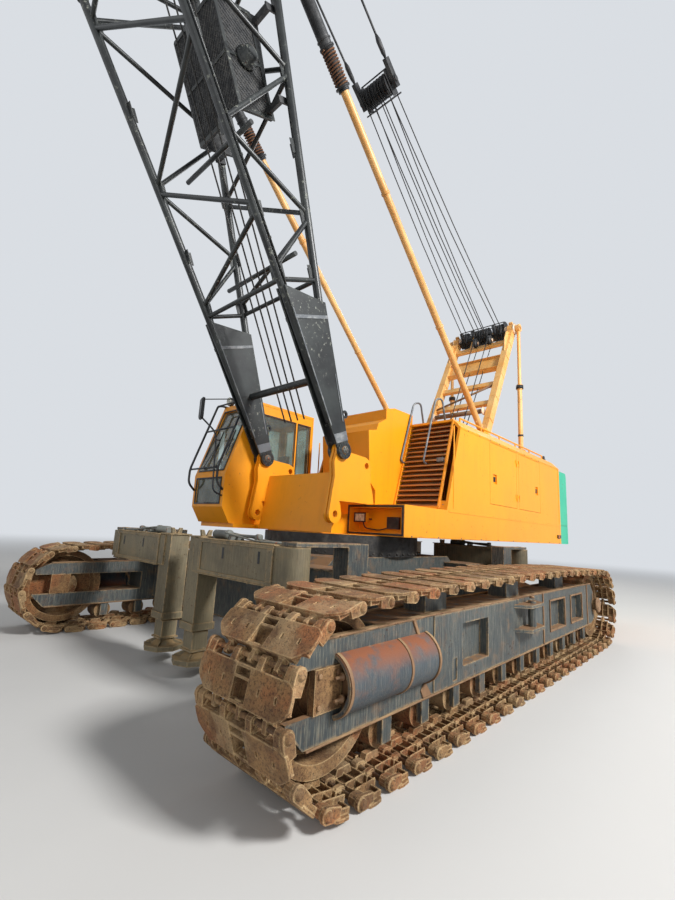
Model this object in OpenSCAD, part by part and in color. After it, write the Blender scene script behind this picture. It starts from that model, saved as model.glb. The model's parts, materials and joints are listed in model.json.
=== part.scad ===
// Crawler crane with a lattice boom, in its basic boom length.
// +X points forward, +Y to the crane's left, +Z up. The origin lies on the ground under the swing axis.

/* [Crawlers] */
// Half the distance between the idler axle and the tumbler axle
axle_x = 3440; // [3200:10:3700]
// Radius of the shoes' outer face round the idler and the tumbler
loop_r = 665; // [620:5:700]
// Rise of the top run at mid length, over its carrier skids
loop_crown = 30; // [0:5:60]
// Distance from the centre line to the middle of each track
track_y = 2870; // [2780:10:2950]
// Width of a shoe
shoe_w = 960; // [900:10:1000]
// Number of shoes in one track
shoe_n = 54; // [50:1:58]
// Thickness of a shoe's plate
shoe_t = 62; // [50:1:75]
// Depth of the hinge bosses behind a shoe's outer face
boss_t = 112; // [100:1:120]
// Width of the gap between two shoes at the outer face
shoe_gap = 26; // [16:1:34]
// Width of a crawler side frame
frame_w = 460; // [420:5:480]
// Height of the underside of a side frame
frame_z0 = 370; // [350:5:390]
// Height of the top of a side frame
frame_z1 = 1030; // [1000:5:1060]
// Radius of the idler and tumbler rims
idler_r = 545; // [500:1:548]
// Radius of a track roller
roller_r = 126; // [110:1:128]
// Number of track rollers under each side frame
roller_n = 11; // [9:1:12]
// Radius of the take-up cover's tube
cover_r = 215; // [190:5:225]

/* [Carbody] */
// Height of the underside of the carbody
carbody_z0 = 560; // [520:10:620]
// Height of the top of the carbody, under the slewing ring
carbody_z1 = 1380; // [1340:10:1400]
// Distance from the swing axis to the middle of each cross beam
cross_x = 1700; // [1550:10:1800]
// Width of a cross beam
cross_w = 620; // [500:10:700]
// Outer radius of the slewing ring
ring_r = 1320; // [1200:10:1360]

/* [Jacks] */
// Distance from the swing axis to a jack arm's hinge pin
jack_x = 2880; // [2860:10:2920]
// Distance from a track's inner edge to a jack arm's hinge pin
jack_gap = 380; // [340:10:420]
// Distance from the centre line to the jacks' axes when their arms are folded
jack_tip = 370; // [340:10:420]
// Height of a jack arm's underside
jack_z0 = 1180; // [1150:10:1190]
// Height of a jack arm's top
jack_z1 = 1560; // [1540:5:1580]
// Width of a jack arm
jack_w = 300; // [260:10:320]
// Height of a float's underside when the jack is drawn in
float_z = 150; // [120:5:180]
// Radius of a jack's rod
jack_rod_r = 55; // [45:1:60]

/* [Upper] */
// Half the width of the upper works
house_y = 1650; // [1600:10:1700]
// Height of the underside of the deck
deck_z0 = 1690; // [1680:5:1720]
// Height of the deck's top
deck_z1 = 2160; // [2120:10:2200]
// Front of the deck's left side box
deck_x = 490; // [400:10:600]
// Foot of the louvred front wall of the machinery house
house_x = -740; // [-800:10:-650]
// How far that wall leans back between deck and eaves
house_lean = 470; // [400:10:540]
// Height of the house's eaves
eave_z = 3670; // [3600:10:3720]
// Height of the house's roof
roof_z = 3850; // [3800:10:3900]
// Where the house ends and the counterweight begins
seam_x = -6800; // [-6900:10:-6700]
// Length of the counterweight
tail_l = 850; // [780:10:950]
// Thickness of the house's walls and doors
wall_t = 50; // [40:1:60]
// Number of louvres in the front wall
louvre_n = 17; // [12:1:20]

/* [Cab] */
// Inner side of the cab, seen from the centre line
cab_y0 = 1035; // [1030:5:1060]
// Outer side of the cab, seen from the centre line
cab_y1 = 1985; // [1950:5:2050]
// Rear wall of the cab
cab_x0 = -150; // [-200:10:-100]
// Front of the cab's floor
cab_x1 = 1800; // [1750:10:1850]
// Front edge of the cab's roof
cab_x2 = 1330; // [1280:10:1380]
// Height of the cab's floor underside
cab_z0 = 1760; // [1740:10:1800]
// Height of the cab's roof
cab_z1 = 3950; // [3900:10:4000]
// Thickness of the cab's walls
cab_t = 45; // [40:1:60]

/* [Boom] */
// Height of the boom foot pins
pin_z = 2900; // [2860:10:2940]
// Distance of the boom foot pins in front of the swing axis
pin_x = 1130; // [1080:10:1180]
// Radius of the boom foot pins
pin_r = 60; // [50:1:70]
// Distance from the centre line to the boom's chords
boom_y = 900; // [880:5:920]
// Angle of the boom above the horizontal
boom_deg = 65.6; // [60:0.1:70]
// Length of the boom from foot pin to head axle
boom_len = 15240; // [14800:10:15600]
// Where the base section joins the tip section
joint_s = 7620; // [7500:10:7700]
// Distance between front and rear chords over the full part
boom_depth = 2000; // [1900:10:2060]
// Where the base section reaches its full depth
full_s = 6950; // [6800:10:7100]
// Radius of a chord's tube
chord_r = 62; // [55:1:66]
// Radius of a lacing tube
lace_r = 34; // [28:1:36]

/* [Gantry] */
// Distance of the gantry's foot pins behind the swing axis
gantry_x = 4000; // [3950:10:4050]
// Height of the gantry's foot pins
gantry_z = 4070; // [4060:5:4120]
// Distance of the gantry's top behind the swing axis
gantry_top_x = 5850; // [5800:10:5880]
// Height of the gantry's top axle
gantry_top_z = 7560; // [7500:10:7620]
// Distance from the centre line to a gantry leg
gantry_y = 820; // [800:5:840]
// Height of the pins that hold the gantry's rear struts
strut_z = 4000; // [3980:5:4020]
// Distance from the centre line to a rear strut
strut_y = 1010; // [1000:5:1030]
// Height of the joint between a strut's tube and its rod
strut_mid_z = 5900; // [5850:10:5950]

/* [Backstops] */
// Distance of the backstops' foot pins behind the swing axis
stop_x = 3370; // [3320:10:3420]
// Height of the backstops' foot pins
stop_z = 4060; // [4050:5:4100]
// Distance from the centre line to a backstop
stop_y = 1065; // [1062:1:1075]
// Place of the backstops' eyes along the boom
stop_s = 7180; // [7100:10:7260]
// Outer radius of a backstop's tube
stop_r = 66; // [60:1:70]

/* [Hook] */
// Height of the hook block's axle below the head axle
hook_drop = 4600; // [4200:10:4800]
// Radius of the head and hook block sheaves
sheave_r = 330; // [300:5:350]
// Distance of the head axle in front of the boom's axis
head_off = 680; // [660:10:720]
// Radius of the hook's bowl
bowl_r = 105; // [95:1:115]

/* [Clearances] */
// Gap between a piece and its seat
seat = 0.3; // [0.2:0.1:0.5]
// Radial gap of a pin in its bore
pin_gap = 0.1; // [0.05:0.01:0.1]

/* [Hidden] */
$fn = 48;
eps = 1;
yellow = [0.93, 0.60, 0.07];
teal = [0.25, 0.80, 0.66];
slate = [0.22, 0.27, 0.31];
rust = [0.42, 0.27, 0.17];
olive = [0.36, 0.37, 0.33];
black = [0.07, 0.07, 0.08];
cream = [0.85, 0.66, 0.38];

boom_foot = [pin_x, 0, pin_z];
jack_y = track_y - shoe_w / 2 - jack_gap;
jack_len = jack_y - jack_tip;
tail_x = seam_x - tail_l;
bulkhead_x = seam_x + 2500;

// A box from its lowest to its highest corner
module span(a, b) translate(a) cube(b - a);

// The same box on both sides of the centre line, with y given on the left side
module both(a, b) for (m = [0, 1]) mirror([0, m, 0]) span(a, b);

// A round bar from one point to another
module bar(p, q, r, fn = 24) {
    d = q - p;
    l = norm(d);
    translate(p) rotate([0, acos(d[2] / l), atan2(d[1], d[0])]) cylinder(r = r, h = l, $fn = fn);
}

// A cylinder along Y from y0 to y1
module shaft(x, z, r, y0, y1, fn = 48)
    translate([x, y1, z]) rotate([90, 0, 0]) cylinder(r = r, h = y1 - y0, $fn = fn);

// An outline in X and Z made as thick as y0 to y1
module plate_y(points, y0, y1) translate([0, y1, 0]) rotate([90, 0, 0]) linear_extrude(y1 - y0) polygon(points);

// A point on the track's loop: s runs along it from the bottom's middle forward, off is measured inwards
loop_half = 2 * axle_x + PI * loop_r;
loop_len = 2 * loop_half;
function crown_at(x) = loop_crown * (1 - pow(x / axle_x, 2));
function loop_pt(s, off) =
    let (u = (s + loop_len) % loop_len, r = loop_r - off)
    u < axle_x ? [u, off]
    : u < axle_x + PI * loop_r ?
        let (a = (u - axle_x) / loop_r * 180 / PI) [axle_x + r * sin(a), loop_r - r * cos(a)]
    : u < 3 * axle_x + PI * loop_r ?
        let (x = 2 * axle_x + PI * loop_r - u) [x, loop_r + r + crown_at(x)]
    : u < 3 * axle_x + 2 * PI * loop_r ?
        let (a = (u - 3 * axle_x - PI * loop_r) / loop_r * 180 / PI)
        [-axle_x - r * sin(a), loop_r + r * cos(a)]
    : [u - loop_len, off];
shoe_p = loop_len / shoe_n;

// The track's two outlines, one shoe after another
shoes_outer = [for (i = [0 : shoe_n - 1], k = [0 : 2])
    k == 0 ? loop_pt(i * shoe_p + shoe_gap / 2, 0)
    : k == 1 ? loop_pt((i + 1) * shoe_p - shoe_gap / 2, 0)
    : loop_pt((i + 1) * shoe_p, shoe_t - 14)];
shoes_inner = [for (i = [0 : shoe_n - 1], k = [0 : 3])
    k == 0 ? loop_pt(i * shoe_p - 48, boss_t)
    : k == 1 ? loop_pt(i * shoe_p + 48, boss_t)
    : k == 2 ? loop_pt(i * shoe_p + 80, shoe_t)
    : loop_pt((i + 1) * shoe_p - 80, shoe_t)];

shoe_window = [100, 150];
module track(side) {
    y = side * track_y;
    color(rust) difference() {
        translate([0, y + shoe_w / 2, 0]) rotate([90, 0, 0]) linear_extrude(shoe_w) difference() {
            polygon(shoes_outer);
            polygon(shoes_inner);
        }
        for (i = [0 : shoe_n - 1]) {
            p = loop_pt((i + 0.5) * shoe_p, 0);
            d = loop_pt((i + 0.6) * shoe_p, 0) - loop_pt((i + 0.4) * shoe_p, 0);
            translate([p[0], y, p[1]]) rotate([0, -atan2(d[1], d[0]), 0])
                translate([-shoe_window[0] / 2, -shoe_window[1] / 2, -20])
                    cube([shoe_window[0], shoe_window[1], shoe_t + 40]);
        }
    }
}

// Side frames with their forked front ends
frame_y0 = track_y - frame_w / 2;
frame_y1 = track_y + frame_w / 2;
window_t = 90;
window_x = [[1000, 1580], [-1750, -1080], [-2700, -2080]];
fork_x = 3860;
lower_x = 3700;
cover_x0 = 2250;
cover_x1 = 3440;
cover_z = (frame_z0 + frame_z1) / 2;
fork_beam = 190;
axle_r = 90;
roller_pitch = 2 * (axle_x - 640) / (roller_n - 1);
roller_z = boss_t + seat + roller_r;
function roller_x(i) = -axle_x + 640 + i * roller_pitch;
skid_z = 2 * loop_r - boss_t;

module frame_outline() {
    polygon([[fork_x - 190, frame_z1 - 20], [cover_x0, frame_z1], [-3300, frame_z1], [-3480, frame_z1 - 160],
        [-3480, frame_z0 + 60], [-3300, frame_z0], [lower_x, frame_z0], [fork_x, frame_z0 + 170],
        [fork_x, frame_z0 + fork_beam], [cover_x0, frame_z0 + fork_beam], [cover_x0, frame_z1 - fork_beam],
        [fork_x - 10, frame_z1 - fork_beam], [fork_x, frame_z1 - 110]]);
}

wheel_slot = 182;
module side_frame(side) {
    y = side * track_y;
    color(slate) {
        difference() {
            translate([0, y + frame_w / 2, 0]) rotate([90, 0, 0]) linear_extrude(frame_w) frame_outline();
            for (w = window_x, e = [-1, 1])
                translate([w[0], y + e * (frame_w / 2 - window_t / 2) - window_t / 2 - eps, frame_z0 + 140])
                    cube([w[1] - w[0], window_t + 2 * eps, frame_z1 - frame_z0 - 270]);
            for (x = [-axle_x - idler_r - 60, axle_x - idler_r - 30])
                translate([x, y - wheel_slot, frame_z0 - eps])
                    cube([2 * idler_r + 90, 2 * wheel_slot, frame_z1 - frame_z0 + 2 * eps]);
            shaft(-axle_x, loop_r, axle_r + pin_gap, y - frame_w, y + frame_w);
        }
        for (k = [-1 : 1])
            translate([k * 1900 - 200, y - 120, frame_z1])
                cube([400, 240, skid_z + crown_at(abs(k) * 1900 + 200) - frame_z1 - seat]);
        for (i = [0 : roller_n - 1], e = [-1, 1])
            translate([roller_x(i) - 60, y + e * 200 - 25, roller_z - 70])
                cube([120, 50, frame_z0 - roller_z + 70]);
        step_bracket(side);
    }
}

// Two lugs with an upright pin on the outer face of a side frame
step_x = [-470, 270];
step_z = [650, 930];
step_out = 170;
module step_bracket(side) mirror([0, side < 0 ? 1 : 0, 0]) {
    for (z = step_z) translate([0, 0, z]) linear_extrude(40) polygon([[step_x[0], frame_y1 - eps],
        [step_x[1], frame_y1 - eps], [step_x[1] - 150, frame_y1 + step_out],
        [step_x[0] + 150, frame_y1 + step_out]]);
    translate([(step_x[0] + step_x[1]) / 2, frame_y1 + 95, step_z[0] - 30])
        cylinder(r = 48, h = step_z[1] - step_z[0] + 100);
}

module track_frames() for (s = [-1, 1]) side_frame(s);

// Half-round covers of the take-up gear, on the outer faces of the forks
cover_wall = 25;
module takeup_covers() color(rust) for (s = [0, 1]) mirror([0, s, 0]) difference() {
    translate([cover_x0, frame_y1 - 60, cover_z]) rotate([0, 90, 0])
        cylinder(r = cover_r, h = cover_x1 - cover_x0);
    translate([cover_x0 + cover_wall, frame_y1 - 60, cover_z]) rotate([0, 90, 0])
        cylinder(r = cover_r - cover_wall, h = cover_x1 - cover_x0);
    span([cover_x0 - eps, frame_y1 - 400, cover_z - 400], [cover_x1 + eps, frame_y1 + seat, cover_z + 400]);
}

// Wheels at the two ends of each track
hub_w = 172;
module rim_wheel(x, y) translate([x, y, loop_r]) rotate([90, 0, 0]) rotate_extrude($fn = 64)
    polygon([[0, -hub_w], [190, -hub_w], [190, -60], [430, -45], [450, -hub_w], [idler_r - 6, -hub_w],
        [idler_r, 20 - hub_w], [idler_r, hub_w - 20], [idler_r - 6, hub_w], [450, hub_w], [430, 45], [190, 60],
        [190, hub_w], [0, hub_w]]);

// The idler's axle ends in two square blocks that slide in the fork
block_x0 = axle_x - 60;
block_x1 = axle_x + 200;
module idlers() color(rust) for (s = [-1, 1]) {
    rim_wheel(axle_x, s * track_y);
    for (e = [-1, 1]) {
        y = s * track_y + e * (frame_w / 2 - 10);
        span([block_x0, y - 28, frame_z0 + fork_beam + seat], [block_x1, y + 28, frame_z1 - fork_beam - seat]);
    }
    shaft(axle_x, loop_r, axle_r, s * track_y - frame_w / 2, s * track_y + frame_w / 2);
}

// The tumbler's shaft runs through the frame into the final drive on its inner side
drive_r = 290;
drive_w = 250;
module tumblers() color(rust) for (s = [-1, 1]) {
    y = s * track_y;
    rim_wheel(-axle_x, y);
    shaft(-axle_x, loop_r, axle_r, y - frame_w / 2 - 60, y + frame_w / 2 + 60);
    y1 = s * (frame_y0 - seat);
    y2 = s * (frame_y0 - drive_w);
    shaft(-axle_x, loop_r, drive_r, min(y1, y2), max(y1, y2));
}

module track_rollers() color(rust) for (s = [-1, 1], i = [0 : roller_n - 1]) {
    shaft(roller_x(i), roller_z, roller_r, s * track_y - 150, s * track_y + 150, 32);
    shaft(roller_x(i), roller_z, 45, s * track_y - 175, s * track_y + 175, 24);
}

// Carbody with two cross beams that run into the side frames
bracket_w = 40;
module carbody() color(slate) difference() {
    union() {
        plate_y([[-cross_x, carbody_z0], [cross_x, carbody_z0], [cross_x, carbody_z1 - 160],
            [cross_x - 200, carbody_z1], [-cross_x + 200, carbody_z1], [-cross_x, carbody_z1 - 160]], -1250, 1250);
        for (e = [-1, 1])
            translate([e * cross_x - cross_w / 2, 0, 0]) rotate([90, 0, 90]) linear_extrude(cross_w)
                polygon([[-frame_y0 + seat, frame_z0 + 60], [frame_y0 - seat, frame_z0 + 60],
                    [frame_y0 - seat, frame_z1 - 60], [1700, carbody_z1 - 110],
                    [-1700, carbody_z1 - 110], [-frame_y0 + seat, frame_z1 - 60]]);
        for (e = [-1, 1], s = [-1, 1], z = [jack_z0 - bracket_w - 5, jack_z1 + 5])
            span([min(e * (cross_x + 200), e * (jack_x + 90)), s * jack_y - 110, z],
                [max(e * (cross_x + 200), e * (jack_x + 90)), s * jack_y + 110, z + bracket_w]);
        for (e = [-1, 1], s = [-1, 1])
            span([min(e * (cross_x + 180), e * (cross_x + 520)), s * jack_y - 110, frame_z1 - 330],
                [max(e * (cross_x + 180), e * (cross_x + 520)), s * jack_y + 110, jack_z1 + 5 + bracket_w]);
    }
    for (e = [-1, 1], s = [-1, 1])
        translate([e * jack_x, s * jack_y, jack_z0 - 100]) cylinder(r = 45 + pin_gap, h = 700);
}

ring_top = deck_z0 - 6;
module slew_ring() color(black) translate([0, 0, carbody_z1]) difference() {
    cylinder(r = ring_r, h = ring_top - carbody_z1 - seat, $fn = 96);
    translate([0, 0, -eps]) cylinder(r = ring_r - 260, h = deck_z0 - carbody_z1 + 2 * eps, $fn = 96);
}

// Jack arms, folded in front of and behind the carbody, each with a post at its free end
post_w = 260;
post_z0 = 520;
module jack_arm(e, s) {
    x = e * jack_x;
    tip_y = s * (jack_y - jack_len);
    color(olive) difference() {
        union() {
            span([x - jack_w / 2, min(s * jack_y, tip_y), jack_z0], [x + jack_w / 2, max(s * jack_y, tip_y), jack_z1]);
            translate([x, s * jack_y, jack_z0]) cylinder(r = jack_w / 2, h = jack_z1 - jack_z0);
            span([x - post_w / 2, tip_y - post_w / 2, post_z0], [x + post_w / 2, tip_y + post_w / 2, jack_z1 + 10]);
        }
        translate([x, tip_y, post_z0 - eps]) cylinder(r = jack_rod_r + pin_gap, h = 1000);
    }
    color(olive) translate([x, s * jack_y, jack_z0 - 50])
        cylinder(r = 45, h = jack_z1 - jack_z0 + 100);
}

module jack_foot(e, s) color(olive) translate([e * jack_x, s * (jack_y - jack_len), 0]) {
    translate([0, 0, float_z + 60]) cylinder(r = jack_rod_r, h = 900);
    translate([0, 0, float_z]) cylinder(r = 250, h = 60, $fn = 8);
    translate([0, 0, float_z + 60]) cylinder(r1 = 150, r2 = 80, h = 70);
}

// Deck of the upper works, with its open box at the front left and the cab's carrier on the right
lug_t = 45;
lug_gap = 20;
lug_half = lug_gap / 2 + lug_t;
slab_z = deck_z1 - 160;
inner_y = 560;
box_t = 50;
wall_foot = [pin_x + 30, deck_z0 + 8];
wall_top = [pin_x - 120, pin_z - 290];
lamp_y = [680, 900];
lamp_z = deck_z1 - 200;
module deck() color(yellow) {
    difference() {
        union() {
            both([seam_x, inner_y, deck_z0], [house_x + 40, house_y, deck_z1]);
            span([seam_x, -inner_y - eps, deck_z0], [wall_foot[0] - 92, inner_y + eps, slab_z]);
            span([house_x + 40, inner_y, deck_z0], [deck_x, house_y, deck_z1]);
            span([house_x + 40, -boom_y - lug_half - 20, deck_z0], [deck_x, -inner_y, deck_z1]);
            span([house_x + 40, -cab_y1 + 30, deck_z0], [cab_x1 - 200, -boom_y - lug_half - 10, cab_z0 - seat]);
            translate([0, 0, ring_top]) cylinder(r = ring_r - 40, h = deck_z0 - ring_top + eps);
        }
        span([deck_x - 240, inner_y + box_t, deck_z0 + box_t], [deck_x + eps, house_y - box_t, deck_z1 - box_t]);
    }
    span([deck_x - 241, lamp_y[0] + 60, lamp_z - 30], [deck_x - 120, lamp_y[1] - 60, lamp_z + 30]);
    span([deck_x - 121, lamp_y[0], lamp_z - 70], [deck_x - 40, lamp_y[1], lamp_z + 70]);
}

// The two pairs of side plates that carry the boom's feet on their pins, with a leaning wall between them
low_eye = [pin_x + 80, deck_z0 + 275];
rear_eye = [pin_x - 590, pin_z - 150];
eye_r = 50;
nose_r = 130;
module lug_outline() {
    polygon([[pin_x - 800, deck_z1 + seat], [pin_x + 10, deck_z1 + seat], [low_eye[0] - 100, low_eye[1] + 140],
        [low_eye[0] - nose_r, low_eye[1]], [low_eye[0] + nose_r, low_eye[1]], [low_eye[0] + 110, low_eye[1] + 130],
        [pin_x + 160, pin_z - 600], [pin_x + 125, pin_z - 400], [pin_x + 150, pin_z - 180], [pin_x + 105, pin_z],
        [pin_x - 80, pin_z + 70], [pin_x - 200, pin_z], [pin_x - 560, pin_z - 20], [pin_x - 650, pin_z - 60],
        [pin_x - 690, pin_z - 150], [pin_x - 700, pin_z - 420], [pin_x - 760, pin_z - 560]]);
    translate(low_eye) circle(r = nose_r);
    translate([pin_x, pin_z]) circle(r = 112);
}
module boom_lugs() color(yellow) {
    for (s = [-1, 1], e = [-1, 1]) {
        y = s * (boom_y + e * (lug_gap + lug_t) / 2);
        difference() {
            translate([0, y + lug_t / 2, 0]) rotate([90, 0, 0]) linear_extrude(lug_t) lug_outline();
            shaft(low_eye[0], low_eye[1], eye_r, y - lug_t, y + lug_t);
            shaft(rear_eye[0], rear_eye[1], eye_r, y - lug_t, y + lug_t);
        }
    }
    for (s = [-1, 1]) shaft(pin_x, pin_z, pin_r, s * boom_y - pin_half, s * boom_y + pin_half);
    plate_y([wall_foot, wall_top, wall_top - [40, 0], wall_foot - [40, 0]],
        -boom_y + lug_half + seat, boom_y - lug_half - seat);
    for (s = [-1, 1]) span([pin_x - 780, s * boom_y - lug_gap / 2 - eps, deck_z1 + seat],
        [pin_x - 660, s * boom_y + lug_gap / 2 + eps, deck_z1 + 60]);
}

// Hinge knuckles on a side wall: dir points from the hinge to its door, side is the wall's side
knuckle_r = 9;
knuckle_h = 70;
leaf_w = 60;
module knuckles(x, y, side, dir, zs, on_door) for (z = zs) {
    z0 = on_door ? z + knuckle_h + seat : z;
    d = on_door ? dir : -dir;
    shaft_y = y + side * (knuckle_r + 1);
    translate([x, shaft_y, z0]) cylinder(r = knuckle_r, h = knuckle_h, $fn = 24);
    span([min(x, x + d * leaf_w), min(y, y + side * knuckle_r), z0],
        [max(x, x + d * leaf_w), max(y, y + side * knuckle_r), z0 + knuckle_h]);
}

// Machinery house: side walls with door openings, chamfered eaves, roof and the leaning front wall's frame
// Each door from its free edge to its hinge
door_x = [[-2430, -3790], [-5270, -3920]];
door_z0 = deck_z1 + 240;
door_z1 = eave_z - 60;
door_gap = 8;
roof_y = house_y - 180;
door_hinge_zs = [door_z0 + 150, door_z1 - 300];
louvre_z0 = deck_z1 + 60;
louvre_z1 = roof_z - 60;
louvre_y = [inner_y + 35, house_y - 190];
function hinge_x(d) = d[1] - sign(d[0] - d[1]) * door_gap / 2;
module house_section() polygon([[inner_y, deck_z1], [house_y, deck_z1], [house_y, eave_z], [roof_y, roof_z],
    [inner_y, roof_z]]);
module house_hollow() polygon([[inner_y + wall_t, deck_z1 - eps], [house_y - wall_t, deck_z1 - eps],
    [house_y - wall_t, eave_z - 20], [roof_y - 15, roof_z - wall_t], [inner_y + wall_t, roof_z - wall_t]]);
front_top = house_x - house_lean * (roof_z - deck_z1) / (eave_z - deck_z1);

module house_side(s) mirror([0, s < 0 ? 1 : 0, 0]) difference() {
    rotate([90, 0, -90]) translate([0, 0, -house_x]) linear_extrude(house_x - seam_x) mirror([1, 0]) house_section();
    rotate([90, 0, -90]) translate([0, 0, -house_x + wall_t]) linear_extrude(house_x - seam_x - 2 * wall_t)
        mirror([1, 0]) house_hollow();
    plate_y([[house_x, deck_z1], [house_x + 500, deck_z1 - eps], [house_x + 500, roof_z + eps],
        [front_top, roof_z + eps]], inner_y - eps, house_y + eps);
    plate_y([[house_x - 130, louvre_z0], [house_x + 100, louvre_z0], [house_x + 100, louvre_z1],
        [house_x - house_lean - 180, louvre_z1]], louvre_y[0], louvre_y[1]);
    for (d = door_x)
        span([min(d) - door_gap, house_y - wall_t - eps, door_z0 - door_gap],
            [max(d) + door_gap, house_y + eps, door_z1 + door_gap]);
}

module house_shell() color(yellow) for (s = [-1, 1]) {
    house_side(s);
    for (d = door_x) knuckles(hinge_x(d), s * house_y, s, sign(d[0] - d[1]), door_hinge_zs, false);
}

// Stepped hood and rear bulkhead between the two side houses
hood_drop = 250;
module house_mid() color(yellow) {
    span([seam_x, -inner_y + seat, slab_z + seat], [bulkhead_x, inner_y - seat, roof_z - hood_drop]);
    plate_y([[-1700, slab_z + seat], [-210, slab_z + seat], [-210, 2450], [50, 2680], [50, 2740], [-30, 2740],
        [40, 3480], [-180, 3530], [-230, 3660], [-460, 3790], [-450, 3980], [-710, 4050], [-1320, 4050],
        [-1320, 3600], [-1700, 3600]], -inner_y + seat, inner_y - seat);
}

// Leaning louvred wall, one tilted blade above another
louvre_h = (louvre_z1 - louvre_z0) / louvre_n;
module louvres() color([0.45, 0.22, 0.10]) for (i = [0 : louvre_n - 1]) {
    z = louvre_z0 + louvre_h * i;
    x = house_x - house_lean * (z - deck_z1) / (eave_z - deck_z1);
    for (s = [-1, 1]) mirror([0, s < 0 ? 1 : 0, 0])
        plate_y([[x - 105, z + 60], [x - 20, z + 8], [x - 8, z + 8], [x - 8, z + 22], [x - 95, z + 76]],
            louvre_y[0] + seat, louvre_y[1] - seat);
}

module engine() color(slate) span([bulkhead_x, 800, deck_z1 + seat], [bulkhead_x + 1800, 1450, deck_z1 + 1150]);

// Counterweight: a stack with rounded tail corners and a chamfered top
tail_r = 260;
groove = 14;
module weight_outline(inset) hull() {
    translate([seam_x - 40, inset - house_y]) square([40 - seat, 2 * (house_y - inset)]);
    for (s = [-1, 1]) translate([tail_x + tail_r, s * (house_y - tail_r)]) circle(r = tail_r - inset, $fn = 48);
}
module counterweight() color(teal) difference() {
    translate([0, 0, deck_z0]) linear_extrude(eave_z - deck_z0 - 60) weight_outline(0);
    plate_y([[tail_x - eps, eave_z - 500], [tail_x + 330, eave_z], [tail_x - eps, eave_z]], -2000, 2000);
    translate([0, 0, deck_z1]) linear_extrude(groove) difference() {
        translate([tail_x - 50, -house_y - 50]) square([seam_x - tail_x + 100, 2 * house_y + 100]);
        weight_outline(groove);
    }
}

// House doors, hung on vertical hinges
module door(d, s) difference() {
    span([min(d), min(s * (house_y - wall_t), s * house_y), door_z0],
        [max(d), max(s * (house_y - wall_t), s * house_y), door_z1]);
    translate([d[0] - sign(d[0] - d[1]) * 230, s * house_y, pin_z]) cube([170, 60, 190], center = true);
}
module house_door(i, s) color(yellow) {
    door(door_x[i], s);
    knuckles(hinge_x(door_x[i]), s * house_y, s, sign(door_x[i][0] - door_x[i][1]), door_hinge_zs, true);
}

rail_r = 17;
rail_x0 = -1700;
rail_x1 = seam_x + 500;
module roof_rails() color(yellow) for (s = [-1, 1]) {
    y = s * (roof_y - 90);
    bar([rail_x0, y, roof_z + 120], [rail_x1, y, roof_z + 120], rail_r);
    for (k = [0 : 5]) bar([rail_x0 + k / 5 * (rail_x1 - rail_x0), y, roof_z + seat],
        [rail_x0 + k / 5 * (rail_x1 - rail_x0), y, roof_z + 120], rail_r);
}

// Cab, on the right side beyond the boom
cab_side = [[cab_x0, cab_z0], [cab_x1 - 160, cab_z0], [cab_x1, cab_z0 + 260], [cab_x1, 2560], [cab_x2, cab_z1],
    [cab_x0, cab_z1]];
cab_inner = [[cab_x0 + cab_t, cab_z0 + cab_t], [cab_x1 - 180, cab_z0 + cab_t], [cab_x1 - cab_t, cab_z0 + 280],
    [cab_x1 - cab_t, 2560], [cab_x2 - 30, cab_z1 - cab_t], [cab_x0 + cab_t, cab_z1 - cab_t]];
cab_door_x0 = 330;
cab_door_x1 = 1180;
cab_door_z0 = cab_z0 + 120;
cab_door_z1 = cab_z1 - 180;
sill_z = 2720;
module cab_window_cuts() {
    span([cab_door_x1 + 80, -cab_y1 - eps, sill_z], [cab_x2 + 60, -cab_y1 + cab_t + eps, cab_z1 - 480]);
    for (y = [-cab_y0 - cab_t - eps, -cab_y1 - eps]) {
        span([cab_x0 + 90, y, sill_z], [cab_door_x0 - 70, y + cab_t + 2 * eps, cab_z1 - 220]);
    }
    span([cab_door_x0, -cab_y0 - cab_t - eps, sill_z], [cab_door_x1, -cab_y0 + eps, cab_z1 - 220]);
    span([cab_x0 - eps, -cab_y1 + 150, sill_z], [cab_x0 + cab_t + eps, -cab_y0 - 150, cab_z1 - 220]);
    plate_y([[cab_x1 - 200, 2640], [cab_x1 + 60, 2640], [cab_x2 + 120, cab_z1 - 130], [cab_x2 - 120, cab_z1 - 130]],
        -cab_y1 + 90, -cab_y0 - 90);
    span([cab_x1 - cab_t - eps, -cab_y1 + 90, cab_z0 + 320], [cab_x1 + eps, -cab_y0 - 90, 2500]);
}

module cab_shell() color(yellow) {
    cab_body();
    knuckles(cab_door_x1 + door_gap / 2, -cab_y1, -1, -1, cab_hinge_zs, false);
}

module cab_body() difference() {
    plate_y(cab_side, -cab_y1, -cab_y0);
    plate_y(cab_inner, -cab_y1 + cab_t, -cab_y0 - cab_t);
    cab_window_cuts();
    span([cab_door_x0 - door_gap, -cab_y1 - eps, cab_door_z0 - door_gap],
        [cab_door_x1 + door_gap, -cab_y1 + cab_t + eps, cab_door_z1 + door_gap]);
}
cab_hinge_zs = [cab_door_z0 + 200, cab_door_z1 - 350];

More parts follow.
